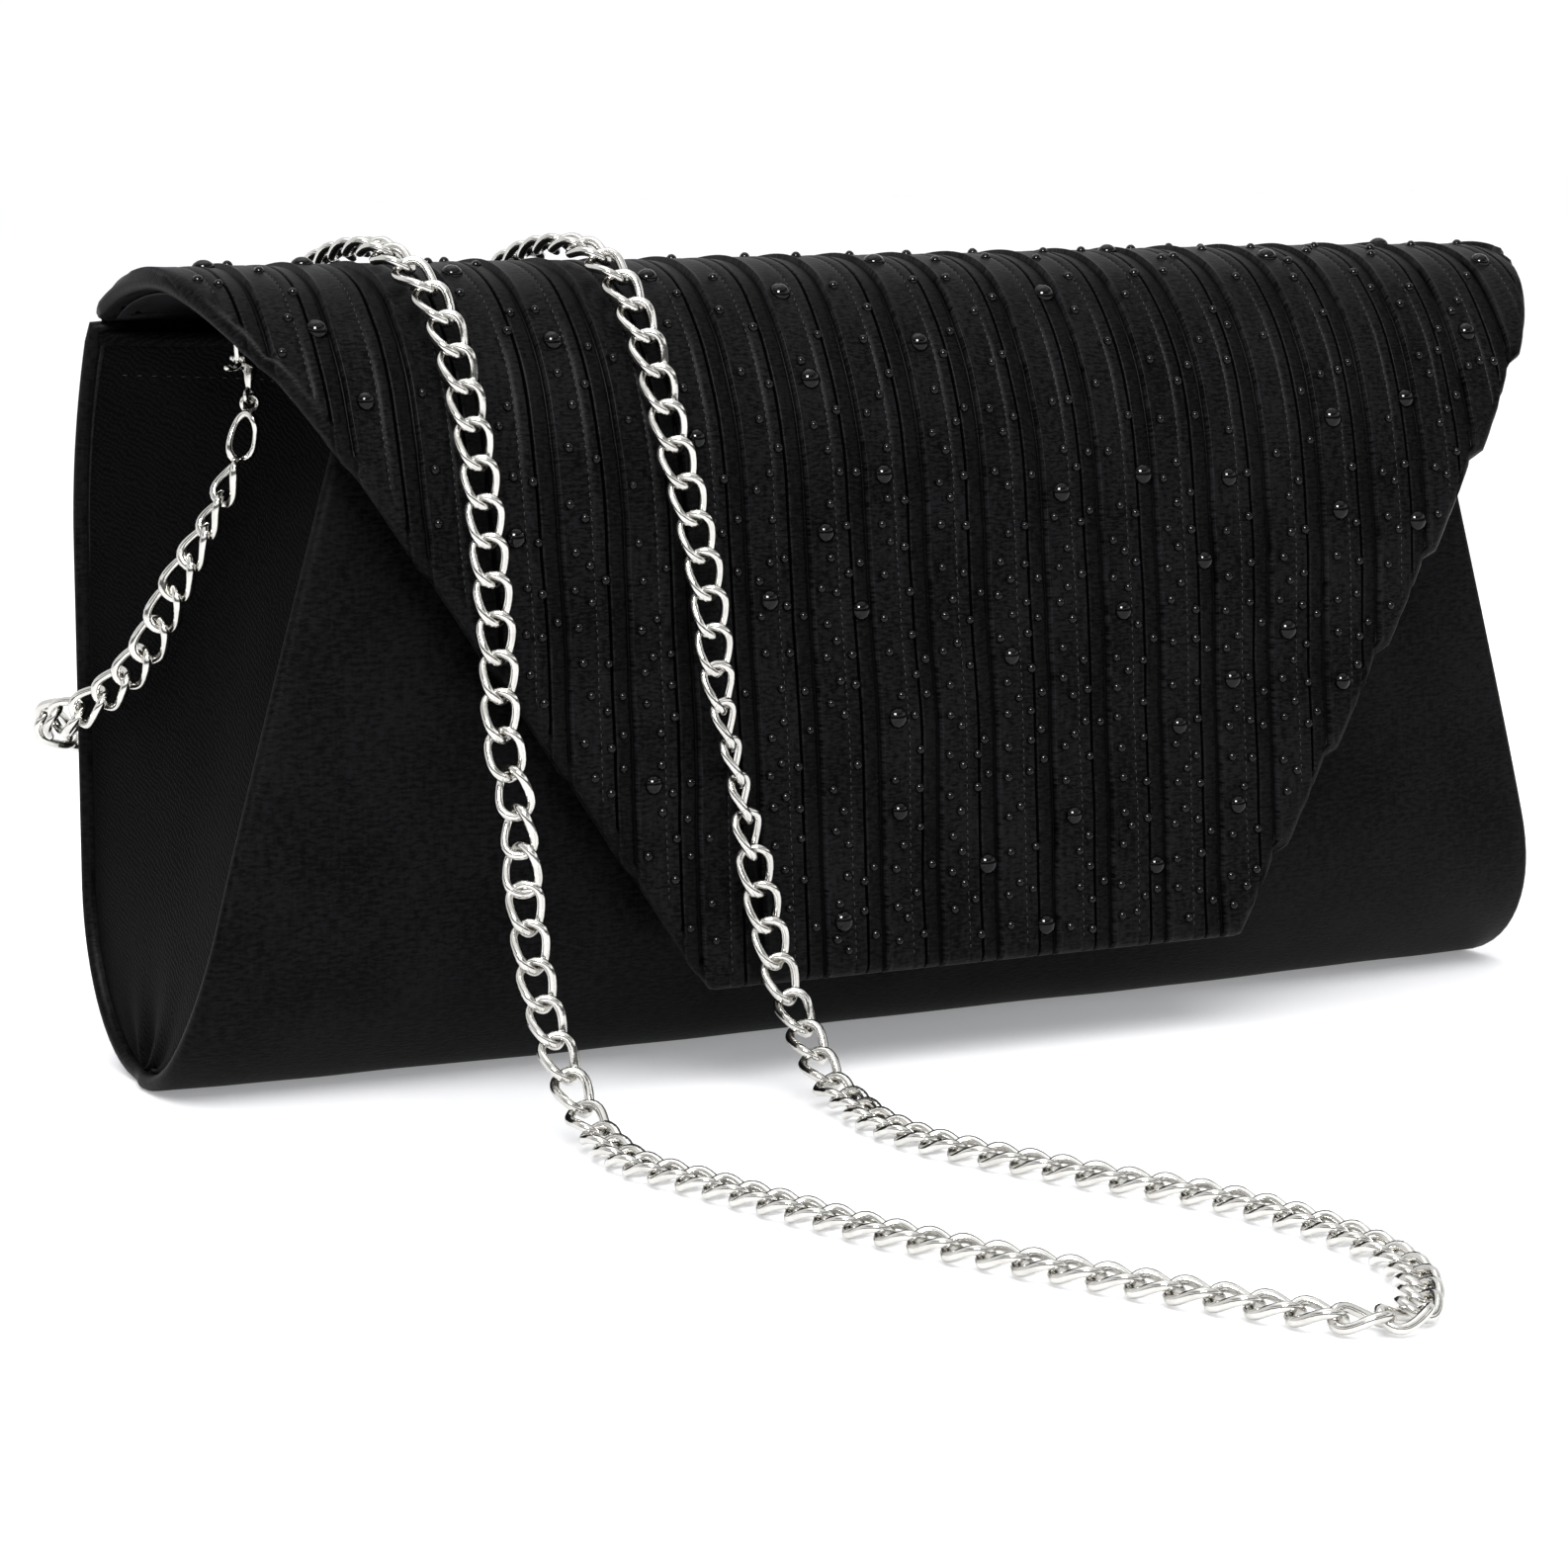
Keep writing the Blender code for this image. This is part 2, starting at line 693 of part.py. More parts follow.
def make_clasp(word, side, parts, cutters):
    upright = side_frame(side)
    frame = upright @ Matrix.Rotation(-CLASP_TILT, 4, "Y").inverted()
    claw = add_object(f"{word}_clasp_body", plate_mesh(claw_outline(), CLASP_THICK), "silver", parts)
    claw.matrix_world = frame
    eye = cutter(
        f"{word}_eye",
        cylinder_mesh(0.0020, CLASP_THICK * 0.6, 20, (0, 0, EYE_HEIGHT), (0, 1, 0)),
        cutters,
    )
    eye_hole = cutter(
        f"{word}_eye_hole",
        cylinder_mesh(0.0012, CLASP_THICK * 2, 16, (0, 0, EYE_HEIGHT), (0, 1, 0)),
        cutters,
    )
    slot = cutter(f"{word}_slot", box_mesh((0.0038, 0.0016, 0.0046), (0.0025, 0, -0.0062)), cutters)
    pin_hole = cutter(
        f"{word}_pin_hole", cylinder_mesh(0.0008, CLASP_THICK * 2, 12, PIVOT, (0, 1, 0)), cutters
    )
    for tool in (eye, eye_hole, slot, pin_hole):
        tool.matrix_world = frame
    boolean(claw, eye, "UNION")
    for tool in (eye_hole, slot, pin_hole):
        boolean(claw, tool, "DIFFERENCE")

    trigger = add_object(f"{word}_clasp_trigger", plate_mesh(TRIGGER_OUTLINE, 0.0010), "silver", parts)
    trigger.matrix_world = frame
    boolean(trigger, pin_hole, "DIFFERENCE")
    pin = add_object(
        f"{word}_trigger_pin", cylinder_mesh(0.0005, 0.0028, 12, PIVOT, (0, 1, 0)), "silver", parts
    )
    pin.matrix_world = frame
    leaf = [(0.00100, -0.00790), (0.00145, -0.00725), (0.00205, -0.00712)]
    spring = tube(f"{word}_trigger_spring", [Vector((x, 0, z)) for x, z in leaf], 0.00012, 1, parts)
    spring.matrix_world = frame
    torus(
        f"{word}_jump_ring",
        "silver",
        parts,
        frame @ Matrix.Translation((0, 0, EYE_HEIGHT - JUMP_RADIUS)),
        JUMP_RADIUS,
        JUMP_WIRE,
        (1, 0, 0),
        20,
        8,
    )
    torus(
        f"{word}_ring",
        "silver",
        parts,
        upright @ Matrix.Translation((-RING_RADIUS, 0, 0)),
        RING_RADIUS,
        RING_WIRE,
        (0, 0, 1),
    )


def make_ring_tab(word, side, parts):
    """A strip folded over the inner side of the ring and sewn down inside the gusset."""
    wire = -2 * RING_RADIUS
    fold = 0.0019
    path = [(-RING_RADIUS - 0.0016, -0.0120), (wire + fold, -0.0005)]
    path += ellipse_arc((wire, 0), (fold, fold), 0, 180, 8)
    path += [(wire - fold, -0.0005), (-RING_RADIUS - 0.0034, -0.0120)]
    steps = len(path) - 1

    def place(u, t):
        x, z = path[round(t * steps)]
        return Vector((x, u * 0.002, z))

    tab = mapped_sheet(f"{word}_ring_tab", "satin", parts, place, 1, steps, 0.0007, offset=0.0)
    tab.matrix_world = side_frame(side)


# ----------------------------------------------------------------------- strap


def tube(name, points, radius, resolution, parts):
    line = bpy.data.curves.new(name, "CURVE")
    line.dimensions = "3D"
    spline = line.splines.new("POLY")
    spline.points.add(len(points) - 1)
    for place, point in zip(spline.points, points):
        place.co = (*point, 1)
    line.bevel_depth = radius
    line.bevel_resolution = resolution
    line.use_fill_caps = True
    made = bpy.data.objects.new(name, line)
    parts.objects.link(made)
    line.materials.append(material("silver"))
    return made


def even_points(route, step):
    """Points about a step apart along the smooth curve through a route."""
    route = [Vector(p) for p in route]
    fine = [spline_point(route, i / 600) for i in range(601)]
    runs = [0.0]
    for first, second in zip(fine, fine[1:]):
        runs.append(runs[-1] + (second - first).length)
    count = max(3, round(runs[-1] / step))
    points = []
    for i in range(count + 1):
        target = runs[-1] * i / count
        index = next(j for j, run in enumerate(runs) if run >= target - 1e-9)
        points.append(fine[index])
    return points


def lifted_off_flap(point):
    """The point, moved straight out if it is nearer to the flap than the chain can lie."""
    here = Vector((point.y, point.z))
    run = FLAP_STEPS[min(range(FLAP_SAMPLES), key=lambda i: (FLAP_LINE[i] - here).length)]
    face, outward = flap_section(run)
    short = FLAP_CHAIN_LIFT - (here - face).dot(outward)
    if short <= 0:
        return point
    return point + Vector((0, outward.x, outward.y)) * short


def make_strap(parts):
    for name, route in ROUTES.items():
        bent = name.endswith("front") or name == "strap_loop"
        points = even_points(route, BENT_CHAIN_STEP if bent else CHAIN_STEP)
        if name.endswith("front"):
            points = [lifted_off_flap(point) for point in points]
        tube(name, points, CHAIN_RADIUS, 2, parts)


def main():
    clear_scene()
    parts = new_collection(COLLECTION)
    cutters = new_collection("cutters")
    make_body(parts)
    front_layers = make_front(parts)
    flap_layers = make_flap(parts)
    make_snap(parts, cutters, front_layers, flap_layers)
    for word, side in (("left", -1), ("right", 1)):
        make_gusset(f"{word}_gusset", side, parts)
        make_clasp(word, side, parts, cutters)
        make_ring_tab(word, side, parts)
    make_strap(parts)


main()
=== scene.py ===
"""Looks of the evening bag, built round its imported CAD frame.

Metres, +Z up, the CAD's own frame: X along the bag, the front faces -Y. The body's and the flap's
surfaces are the same formulas as in the CAD script, because this file can't read that one.
"""

import json
import math
import random

import bmesh
import bpy
import numpy as np
from mathutils import Euler, Matrix, Vector, noise
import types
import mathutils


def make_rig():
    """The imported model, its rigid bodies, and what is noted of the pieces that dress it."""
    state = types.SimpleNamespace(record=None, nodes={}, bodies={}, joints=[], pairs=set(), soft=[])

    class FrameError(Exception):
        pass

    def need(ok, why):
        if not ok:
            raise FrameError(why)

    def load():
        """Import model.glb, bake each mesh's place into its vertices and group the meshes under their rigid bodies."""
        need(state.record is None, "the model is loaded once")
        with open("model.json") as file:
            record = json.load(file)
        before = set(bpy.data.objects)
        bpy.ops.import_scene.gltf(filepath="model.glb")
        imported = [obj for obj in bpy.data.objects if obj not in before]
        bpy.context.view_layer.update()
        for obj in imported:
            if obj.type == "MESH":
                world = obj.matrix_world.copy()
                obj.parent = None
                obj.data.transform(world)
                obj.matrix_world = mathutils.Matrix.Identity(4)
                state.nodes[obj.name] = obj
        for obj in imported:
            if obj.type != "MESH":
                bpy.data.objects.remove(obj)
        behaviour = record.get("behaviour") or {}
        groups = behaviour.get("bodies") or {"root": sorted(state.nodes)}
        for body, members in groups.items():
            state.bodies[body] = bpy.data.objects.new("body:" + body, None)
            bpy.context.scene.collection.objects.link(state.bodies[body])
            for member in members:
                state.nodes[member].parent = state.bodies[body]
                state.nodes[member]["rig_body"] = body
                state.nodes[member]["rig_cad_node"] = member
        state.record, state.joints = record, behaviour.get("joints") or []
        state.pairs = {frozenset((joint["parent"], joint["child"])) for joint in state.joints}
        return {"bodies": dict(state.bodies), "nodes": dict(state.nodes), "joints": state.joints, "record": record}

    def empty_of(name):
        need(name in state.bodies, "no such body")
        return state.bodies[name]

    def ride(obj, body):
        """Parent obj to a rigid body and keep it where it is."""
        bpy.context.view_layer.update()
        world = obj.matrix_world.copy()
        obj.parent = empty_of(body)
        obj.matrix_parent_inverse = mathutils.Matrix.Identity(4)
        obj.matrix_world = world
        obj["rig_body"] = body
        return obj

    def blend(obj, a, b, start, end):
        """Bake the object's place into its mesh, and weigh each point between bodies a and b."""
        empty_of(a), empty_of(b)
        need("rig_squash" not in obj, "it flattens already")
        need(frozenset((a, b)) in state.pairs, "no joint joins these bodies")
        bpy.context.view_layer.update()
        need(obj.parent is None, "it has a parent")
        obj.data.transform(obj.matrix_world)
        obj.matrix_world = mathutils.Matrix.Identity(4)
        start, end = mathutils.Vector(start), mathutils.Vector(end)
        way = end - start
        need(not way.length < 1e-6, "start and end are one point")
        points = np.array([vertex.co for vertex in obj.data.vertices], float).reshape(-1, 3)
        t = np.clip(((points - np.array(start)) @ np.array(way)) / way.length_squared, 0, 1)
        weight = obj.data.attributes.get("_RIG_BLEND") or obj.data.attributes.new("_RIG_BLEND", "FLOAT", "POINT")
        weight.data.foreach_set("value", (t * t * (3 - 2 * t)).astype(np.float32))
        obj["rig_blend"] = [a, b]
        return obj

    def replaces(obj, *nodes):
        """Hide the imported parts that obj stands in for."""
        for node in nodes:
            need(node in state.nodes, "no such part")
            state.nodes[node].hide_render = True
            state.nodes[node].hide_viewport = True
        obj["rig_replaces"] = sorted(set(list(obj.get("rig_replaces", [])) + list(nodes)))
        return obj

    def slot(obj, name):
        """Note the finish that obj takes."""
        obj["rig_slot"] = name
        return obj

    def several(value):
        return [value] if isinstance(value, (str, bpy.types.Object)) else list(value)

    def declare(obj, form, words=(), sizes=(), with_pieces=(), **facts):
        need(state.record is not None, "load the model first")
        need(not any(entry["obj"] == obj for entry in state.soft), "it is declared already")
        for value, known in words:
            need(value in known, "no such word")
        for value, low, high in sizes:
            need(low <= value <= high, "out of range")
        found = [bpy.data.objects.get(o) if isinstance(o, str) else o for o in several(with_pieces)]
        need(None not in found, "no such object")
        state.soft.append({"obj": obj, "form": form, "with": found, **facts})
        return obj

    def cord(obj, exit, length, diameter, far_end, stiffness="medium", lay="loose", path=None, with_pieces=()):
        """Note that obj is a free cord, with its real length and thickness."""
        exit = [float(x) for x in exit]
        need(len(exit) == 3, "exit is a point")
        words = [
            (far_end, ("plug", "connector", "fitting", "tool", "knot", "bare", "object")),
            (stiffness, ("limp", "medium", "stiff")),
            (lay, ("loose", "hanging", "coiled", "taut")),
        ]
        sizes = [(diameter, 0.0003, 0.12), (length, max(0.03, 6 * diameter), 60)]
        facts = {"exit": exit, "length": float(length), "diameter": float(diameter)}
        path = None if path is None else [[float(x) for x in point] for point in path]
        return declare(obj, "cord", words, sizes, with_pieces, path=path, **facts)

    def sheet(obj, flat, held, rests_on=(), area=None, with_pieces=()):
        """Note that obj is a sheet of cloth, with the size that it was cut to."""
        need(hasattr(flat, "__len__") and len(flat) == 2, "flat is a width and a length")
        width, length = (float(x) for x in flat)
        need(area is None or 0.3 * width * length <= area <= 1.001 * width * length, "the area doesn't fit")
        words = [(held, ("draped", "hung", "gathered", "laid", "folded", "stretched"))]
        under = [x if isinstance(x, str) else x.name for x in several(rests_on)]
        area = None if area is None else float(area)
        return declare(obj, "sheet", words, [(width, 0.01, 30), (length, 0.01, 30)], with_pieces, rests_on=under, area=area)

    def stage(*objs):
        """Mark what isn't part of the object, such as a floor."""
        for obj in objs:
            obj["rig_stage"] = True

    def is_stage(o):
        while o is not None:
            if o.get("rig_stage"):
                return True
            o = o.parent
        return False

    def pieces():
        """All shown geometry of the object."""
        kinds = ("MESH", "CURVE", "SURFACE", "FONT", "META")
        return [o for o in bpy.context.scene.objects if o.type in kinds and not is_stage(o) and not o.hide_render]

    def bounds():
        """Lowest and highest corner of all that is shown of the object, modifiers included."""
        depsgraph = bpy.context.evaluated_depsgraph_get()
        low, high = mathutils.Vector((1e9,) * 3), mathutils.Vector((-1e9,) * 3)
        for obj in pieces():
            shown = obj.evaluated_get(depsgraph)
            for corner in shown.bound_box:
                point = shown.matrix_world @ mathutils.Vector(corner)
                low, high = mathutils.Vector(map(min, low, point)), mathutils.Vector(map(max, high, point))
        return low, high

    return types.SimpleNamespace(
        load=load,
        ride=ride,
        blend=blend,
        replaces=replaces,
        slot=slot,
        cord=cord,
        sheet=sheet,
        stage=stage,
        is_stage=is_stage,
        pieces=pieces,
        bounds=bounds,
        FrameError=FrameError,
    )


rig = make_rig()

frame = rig.load()
CAD_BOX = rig.bounds()

# ---- dimensions

HALF_LENGTH = 0.133
BACK_Y = 0.0385
FRONT_Y = -0.0183
CORNER_HEIGHT = 0.030
BACK_TOP = 0.1262
FRONT_TOP = 0.115
LEAN_START = 0.088
BACK_LEAN = 0.0100
FLAT_AT_ENDS = 0.0025
FLAT_AT_MIDDLE = 0.0080
FRONT_BULGE = 0.0075
BULGE_FULL = 0.030
BULGE_FADE = 0.060
BULGE_FADE_SPAN = 0.050
FRONT_FLARE = 0.29
FLARE_ROUND = 0.018
FRONT_HALF_FOOT = 0.1343
GUSSET_SETBACK = 0.0018
GUSSET_TOP = 0.1233
GUSSET_FRONT_TOP = 0.1140
GUSSET_HOLLOW = 0.0050
GUSSET_MARGIN = 0.0030  # from the walls' outer faces to the gusset's edges
GUSSET_CORNER = 0.4  # the share of the gusset's height that its round corners take up
GUSSET_PUCKER = 0.0010
GUSSET_SAG = 0.0009
FLAP_PROFILE = [
    (0.0285, 0.1283), (0.0175, 0.1328), (0.0020, 0.1349), (-0.0095, 0.1325),
    (-0.0176, 0.1262), (-0.0240, 0.1170), (-0.0285, 0.1045), (-0.0310, 0.0885),
    (-0.0333, 0.0660), (-0.0352, 0.0420), (-0.0368, 0.0165),
]
TIP_HALF_WIDTH = 0.052
EDGE_STEP = 0.0018  # how far each pleat juts out past the next one's start, on the right edge
EDGE_SLOPE = 0.67
EDGE_SOFTNESS = 0.006
FLAP_SKEW = 0.0015  # how far the made-up flap's sloping edges sit to the right
FLAP_CHAIN_LIFT = 0.0030

BODY_RIM = 0.00135  # half the thickness of a turned edge
FLAP_RIM = 0.00175
PLEAT = 0.01135  # from one pleat's folded edge to the next
PLEAT_PHASE = 0.0052
FIRST_PLEAT = math.floor((-HALF_LENGTH - PLEAT_PHASE) / PLEAT)
LAST_PLEAT = math.ceil((HALF_LENGTH - PLEAT_PHASE) / PLEAT)
SKIN = 0.0006
BACK_FULLNESS = 0.0017  # how far the back wall's upper part comes out at each side
LINING_DEPTH = 0.0031  # these four are measured from the outer face
POCKET_DEPTH = 0.0041
FLAP_LINING_DEPTH = 0.0037
HINGE_DEPTH = 0.0014

CHAIN_PITCH = 0.0062
LINK_HALF_LENGTH = 0.0039
LINK_HALF_WIDTH = 0.00278
LINK_TWIST = 0.00092
LINK_WIRE = 0.00078
END_LINK_SCALE = (1.0, 0.76, 1.0)  # the chain's two end links are narrower, to enter the jump rings
END_LINK_SHIFT = 0.0015

RING_RADIUS = 0.0055
HOOK_PLACE = Vector((0.1152, 0.0016, 0.1259))
OUTWARD = Vector((0.826, -0.564, 0.0))
CLASP_TILT = math.radians(3)
EYE_HEIGHT = -0.0116
JUMP_RADIUS = 0.0013

STITCH_LENGTH = 0.0008
STITCH_RADIUS = 0.00011
STITCH_LINE = 0.00522  # how far across a pleat its row of stitches runs
PLEAT_DATUM = 0.0007  # the height on a pleat that lies in the flap's outer face
KNOT_SAMPLES = 24  # points worked out between two points of the chain's route
BACK_SEAM = (0, 0.030, 0)  # the gussets give between these two places
FRONT_SEAM = (0, -0.016, 0)

# The chain's route from the left clasp to the right one. TAIL is the right side's, from its clasp
# down, and the left side's is its mirror image
TAIL = [
    (0.1163, 0.0002, 0.1093), (0.1172, 0.0012, 0.1040), (0.1207, 0.0045, 0.0941),
    (0.1250, 0.0098, 0.0830), (0.1284, 0.0155, 0.0718), (0.1318, 0.0222, 0.0650),
    (0.1360, 0.0300, 0.0600), (0.1376, 0.0360, 0.0590), (0.1376, 0.0400, 0.0575),
    (0.1350, 0.0423, 0.0560),
]
LEFT_BACK = [
    (-0.1305, 0.0423, 0.0545), (-0.1235, 0.0417, 0.0560), (-0.1145, 0.0412, 0.0625),
    (-0.1065, 0.0410, 0.0780), (-0.1005, 0.0403, 0.0970), (-0.0965, 0.0372, 0.1150),
    (-0.0950, 0.0326, 0.1270), (-0.0940, 0.0270, 0.1322),
]
LEFT_FRONT = [
    (-0.0936, 0.0190, 0.1352), (-0.0935, 0.0100, 0.1371), (-0.0935, 0.0000, 0.1376),
    (-0.0934, -0.0089, 0.1348), (-0.0916, -0.0140, 0.1316), (-0.0905, -0.0200, 0.1265),
    (-0.0902, -0.0240, 0.1215), (-0.0898, -0.0288, 0.1122), (-0.0892, -0.0319, 0.1029),
    (-0.0887, -0.0334, 0.0936), (-0.0880, -0.0356, 0.0748), (-0.0887, -0.0385, 0.0620),
    (-0.0875, -0.0408, 0.0510), (-0.0877, -0.0440, 0.0377), (-0.0878, -0.0490, 0.0234),
    (-0.0868, -0.0545, 0.0133),
]
LOOP = [
    (-0.0861, -0.0595, 0.0070), (-0.0862, -0.0660, 0.0034), (-0.0876, -0.0768, 0.0021),
    (-0.0880, -0.0875, 0.0021), (-0.0845, -0.1020, 0.0021), (-0.0808, -0.1180, 0.0021),
    (-0.0750, -0.1401, 0.0021), (-0.0640, -0.1680, 0.0021), (-0.0480, -0.2005, 0.0021),
    (-0.0425, -0.2090, 0.0021), (-0.0355, -0.2105, 0.0021), (-0.0285, -0.2035, 0.0021),
    (-0.0222, -0.1930, 0.0021), (-0.0185, -0.1795, 0.0021), (-0.0184, -0.1631, 0.0021),
    (-0.0220, -0.1441, 0.0021), (-0.0295, -0.1272, 0.0021), (-0.0373, -0.1074, 0.0021),
    (-0.0416, -0.0925, 0.0021), (-0.0421, -0.0776, 0.0021), (-0.0405, -0.0670, 0.0026),
    (-0.0396, -0.0575, 0.0040),
]
RIGHT_FRONT = [
    (-0.0389, -0.0475, 0.0102), (-0.0388, -0.0440, 0.0136), (-0.0397, -0.0412, 0.0182),
    (-0.0415, -0.0398, 0.0265), (-0.0435, -0.0391, 0.0366), (-0.0460, -0.0382, 0.0500),
    (-0.0488, -0.0365, 0.0661), (-0.0500, -0.0348, 0.0822), (-0.0520, -0.0332, 0.0950),
    (-0.0540, -0.0316, 0.1045), (-0.0551, -0.0285, 0.1130), (-0.0558, -0.0240, 0.1215),
    (-0.0561, -0.0200, 0.1265), (-0.0566, -0.0140, 0.1316), (-0.0572, -0.0089, 0.1348),
    (-0.0580, 0.0000, 0.1376), (-0.0581, 0.0100, 0.1371), (-0.0582, 0.0190, 0.1352),
]
RIGHT_BACK = [
    (-0.0586, 0.0270, 0.1322), (-0.0588, 0.0326, 0.1270), (-0.0590, 0.0372, 0.1150),
    (-0.0565, 0.0403, 0.0970), (-0.0490, 0.0410, 0.0720), (-0.0350, 0.0412, 0.0480),
    (-0.0140, 0.0416, 0.0290), (0.0130, 0.0418, 0.0165), (0.0430, 0.0420, 0.0125),
    (0.0730, 0.0420, 0.0165), (0.1000, 0.0421, 0.0275), (0.1200, 0.0422, 0.0395),
    (0.1305, 0.0423, 0.0530),
]


def lerp(a, b, t):
    return a + (b - a) * t


def smooth(t):
    t = min(max(t, 0.0), 1.0)
    return t * t * (3 - 2 * t)


def look_up(value, table):
    """The value's match in a table of pairs, in a straight line between two of them."""
    return float(np.interp(value, [a for a, b in table], [b for a, b in table]))


def add_object(name, data):
    made = bpy.data.objects.new(name, data)
    bpy.context.scene.collection.objects.link(made)
    return made


def set_stops(ramp, stops):
    """Gives a colour ramp grey stops, each a place and a value."""
    while len(ramp.elements) < len(stops):
        ramp.elements.new(0.5)
    for element, (position, value) in zip(ramp.elements, stops):
        element.position = position
        element.color = (value, value, value, 1)


# ---- camera

camera_data = bpy.data.cameras.new("camera")
camera_data.lens = 102.71
camera_data.sensor_width = 36
camera_data.clip_start = 0.01
camera = add_object("camera", camera_data)
camera.location = (-0.37959, -0.68107, 0.16170)
camera.rotation_euler = Euler((math.radians(90 - 8.695), 0, math.radians(-28)))
bpy.context.scene.camera = camera


# ---- materials


class Shader:
    """A material under construction: its nodes are added and joined by short calls."""

    def __init__(self, name):
        self.material = bpy.data.materials.new(name)
        self.material.use_nodes = True
        self.tree = self.material.node_tree
        self.bsdf = self.tree.nodes["Principled BSDF"]

    def node(self, kind, **settings):
        made = self.tree.nodes.new(kind)
        for key, value in settings.items():
            setattr(made, key, value)
        return made

    def link(self, source, target):
        self.tree.links.new(source, target)

    def fix(self, **values):
        for key, value in values.items():
            self.bsdf.inputs[key.replace("_", " ")].default_value = value

    def math(self, operation, first, second=None):
        made = self.node("ShaderNodeMath", operation=operation)
        for socket, value in zip(made.inputs, (first, second)):
            if value is None:
                continue
            if isinstance(value, (int, float)):
                socket.default_value = value
            else:
                self.link(value, socket)
        return made.outputs[0]

    def cloth(self, turn=0.0, stretch=(1, 1, 1)):
        """The cloth's own coordinates in metres, turned by an angle."""
        uv = self.node("ShaderNodeUVMap", uv_map="cloth")
        mapping = self.node("ShaderNodeMapping")
        mapping.inputs["Rotation"].default_value[2] = turn
        mapping.inputs["Scale"].default_value = stretch
        self.link(uv.outputs["UV"], mapping.inputs["Vector"])
        return mapping.outputs["Vector"]

    def place(self):
        return self.node("ShaderNodeTexCoord").outputs["Object"]

    def bands(self, vector, period, distortion, detail):
        wave = self.node("ShaderNodeTexWave", wave_type="BANDS", bands_direction="X")
        wave.inputs["Scale"].default_value = 0.314 / period
        wave.inputs["Distortion"].default_value = distortion
        wave.inputs["Detail"].default_value = detail
        self.link(vector, wave.inputs["Vector"])
        return wave.outputs["Fac"]

    def cloud(self, vector, size, detail=2.0, rough=0.5):
        made = self.node("ShaderNodeTexNoise")
        made.inputs["Scale"].default_value = 1 / size
        made.inputs["Detail"].default_value = detail
        made.inputs["Roughness"].default_value = rough
        self.link(vector, made.inputs["Vector"])
        return made.outputs["Fac"]

    def ramp(self, factor, low, high, at=(0.0, 1.0)):
        made = self.node("ShaderNodeValToRGB")
        made.color_ramp.elements[0].position = at[0]
        made.color_ramp.elements[0].color = (*low, 1)
        made.color_ramp.elements[1].position = at[1]
        made.color_ramp.elements[1].color = (*high, 1)
        self.link(factor, made.inputs["Fac"])
        return made.outputs["Color"]

    def span(self, factor, low, high):
        made = self.node("ShaderNodeMapRange")
        made.inputs["To Min"].default_value = low
        made.inputs["To Max"].default_value = high
        self.link(factor, made.inputs["Value"])
        return made.outputs["Result"]

    def mix(self, first, share, second):
        """A share of the first value and the rest of the second."""
        rest = self.math("MULTIPLY", second, 1 - share)
        return self.math("ADD", self.math("MULTIPLY", first, share), rest)

    def tone(self, factor, low, high, at=(0.3, 0.7)):
        self.link(self.ramp(factor, low, high, at), self.bsdf.inputs["Base Color"])

    def gloss(self, factor, low, high):
        self.link(self.span(factor, low, high), self.bsdf.inputs["Roughness"])

    def relief(self, height, distance):
        bump = self.node("ShaderNodeBump")
        bump.inputs["Distance"].default_value = distance
        self.link(height, bump.inputs["Height"])
        self.link(bump.outputs["Normal"], self.bsdf.inputs["Normal"])


# Painted highlight and shade across one pleat, as (share of the pleat, brightness): painted highlights on the folded
# edges, painted shade in the grooves and on the lower band
PLEAT_PAINTED_LIGHT = [
    (0.000, 1.9), (0.013, 1.5), (0.024, 1.0), (0.632, 1.0), (0.648, 0.05), (0.692, 0.05),
    (0.697, 1.7), (0.706, 1.3), (0.735, 0.66), (0.920, 0.52), (0.936, 0.04), (0.990, 0.04),
    (0.996, 1.9),
]


def paint_pleat_light(shader):
    """Painted light across a pleat: painted highlights along the folded edges, painted shade in the grooves, under the
    next fold and on the lower band.
    """
    split = shader.node("ShaderNodeSeparateXYZ")
    shader.link(shader.cloth(), split.inputs[0])
    across = shader.math("SUBTRACT", split.outputs["X"], PLEAT_PHASE)
    ramp = shader.node("ShaderNodeValToRGB")
    set_stops(ramp.color_ramp, PLEAT_PAINTED_LIGHT)
    shader.link(shader.math("FRACT", shader.math("MULTIPLY", across, 1 / PLEAT)), ramp.inputs["Fac"])
    return ramp.outputs["Color"]


def satin(name, low, high, roughness, tick=0.0006, relief=0.00012, pleats=False):
    """Black satin: floats of thread that show as short lengthwise ticks, with a soft uneven sheen."""
    shader = Shader(name)
    slub = shader.cloud(shader.cloth(turn=math.radians(58), stretch=(1, 0.18, 1)), 0.0007, 3, 0.6)
    ticks = shader.cloud(shader.cloth(stretch=(0.35, 1, 1)), tick, 2, 0.7)
    broad = shader.cloud(shader.cloth(), 0.018)
    weave = shader.mix(slub, 0.25, ticks)
    colour = shader.ramp(shader.mix(weave, 0.8, broad), low, high, (0.42, 0.58))
    # With pleats, the colour is multiplied by painted highlights and painted shade across each pleat
    if pleats:
        painted_pleat_colour = shader.node("ShaderNodeVectorMath", operation="MULTIPLY")
        shader.link(colour, painted_pleat_colour.inputs[0])
        shader.link(paint_pleat_light(shader), painted_pleat_colour.inputs[1])
        colour = painted_pleat_colour.outputs["Vector"]
    shader.link(colour, shader.bsdf.inputs["Base Color"])
    shader.gloss(slub, roughness - 0.06, roughness + 0.10)
    shader.relief(weave, relief)
    shader.fix(Specular_IOR_Level=0.04, Sheen_Weight=0.008, Sheen_Roughness=0.4)
    return shader.material


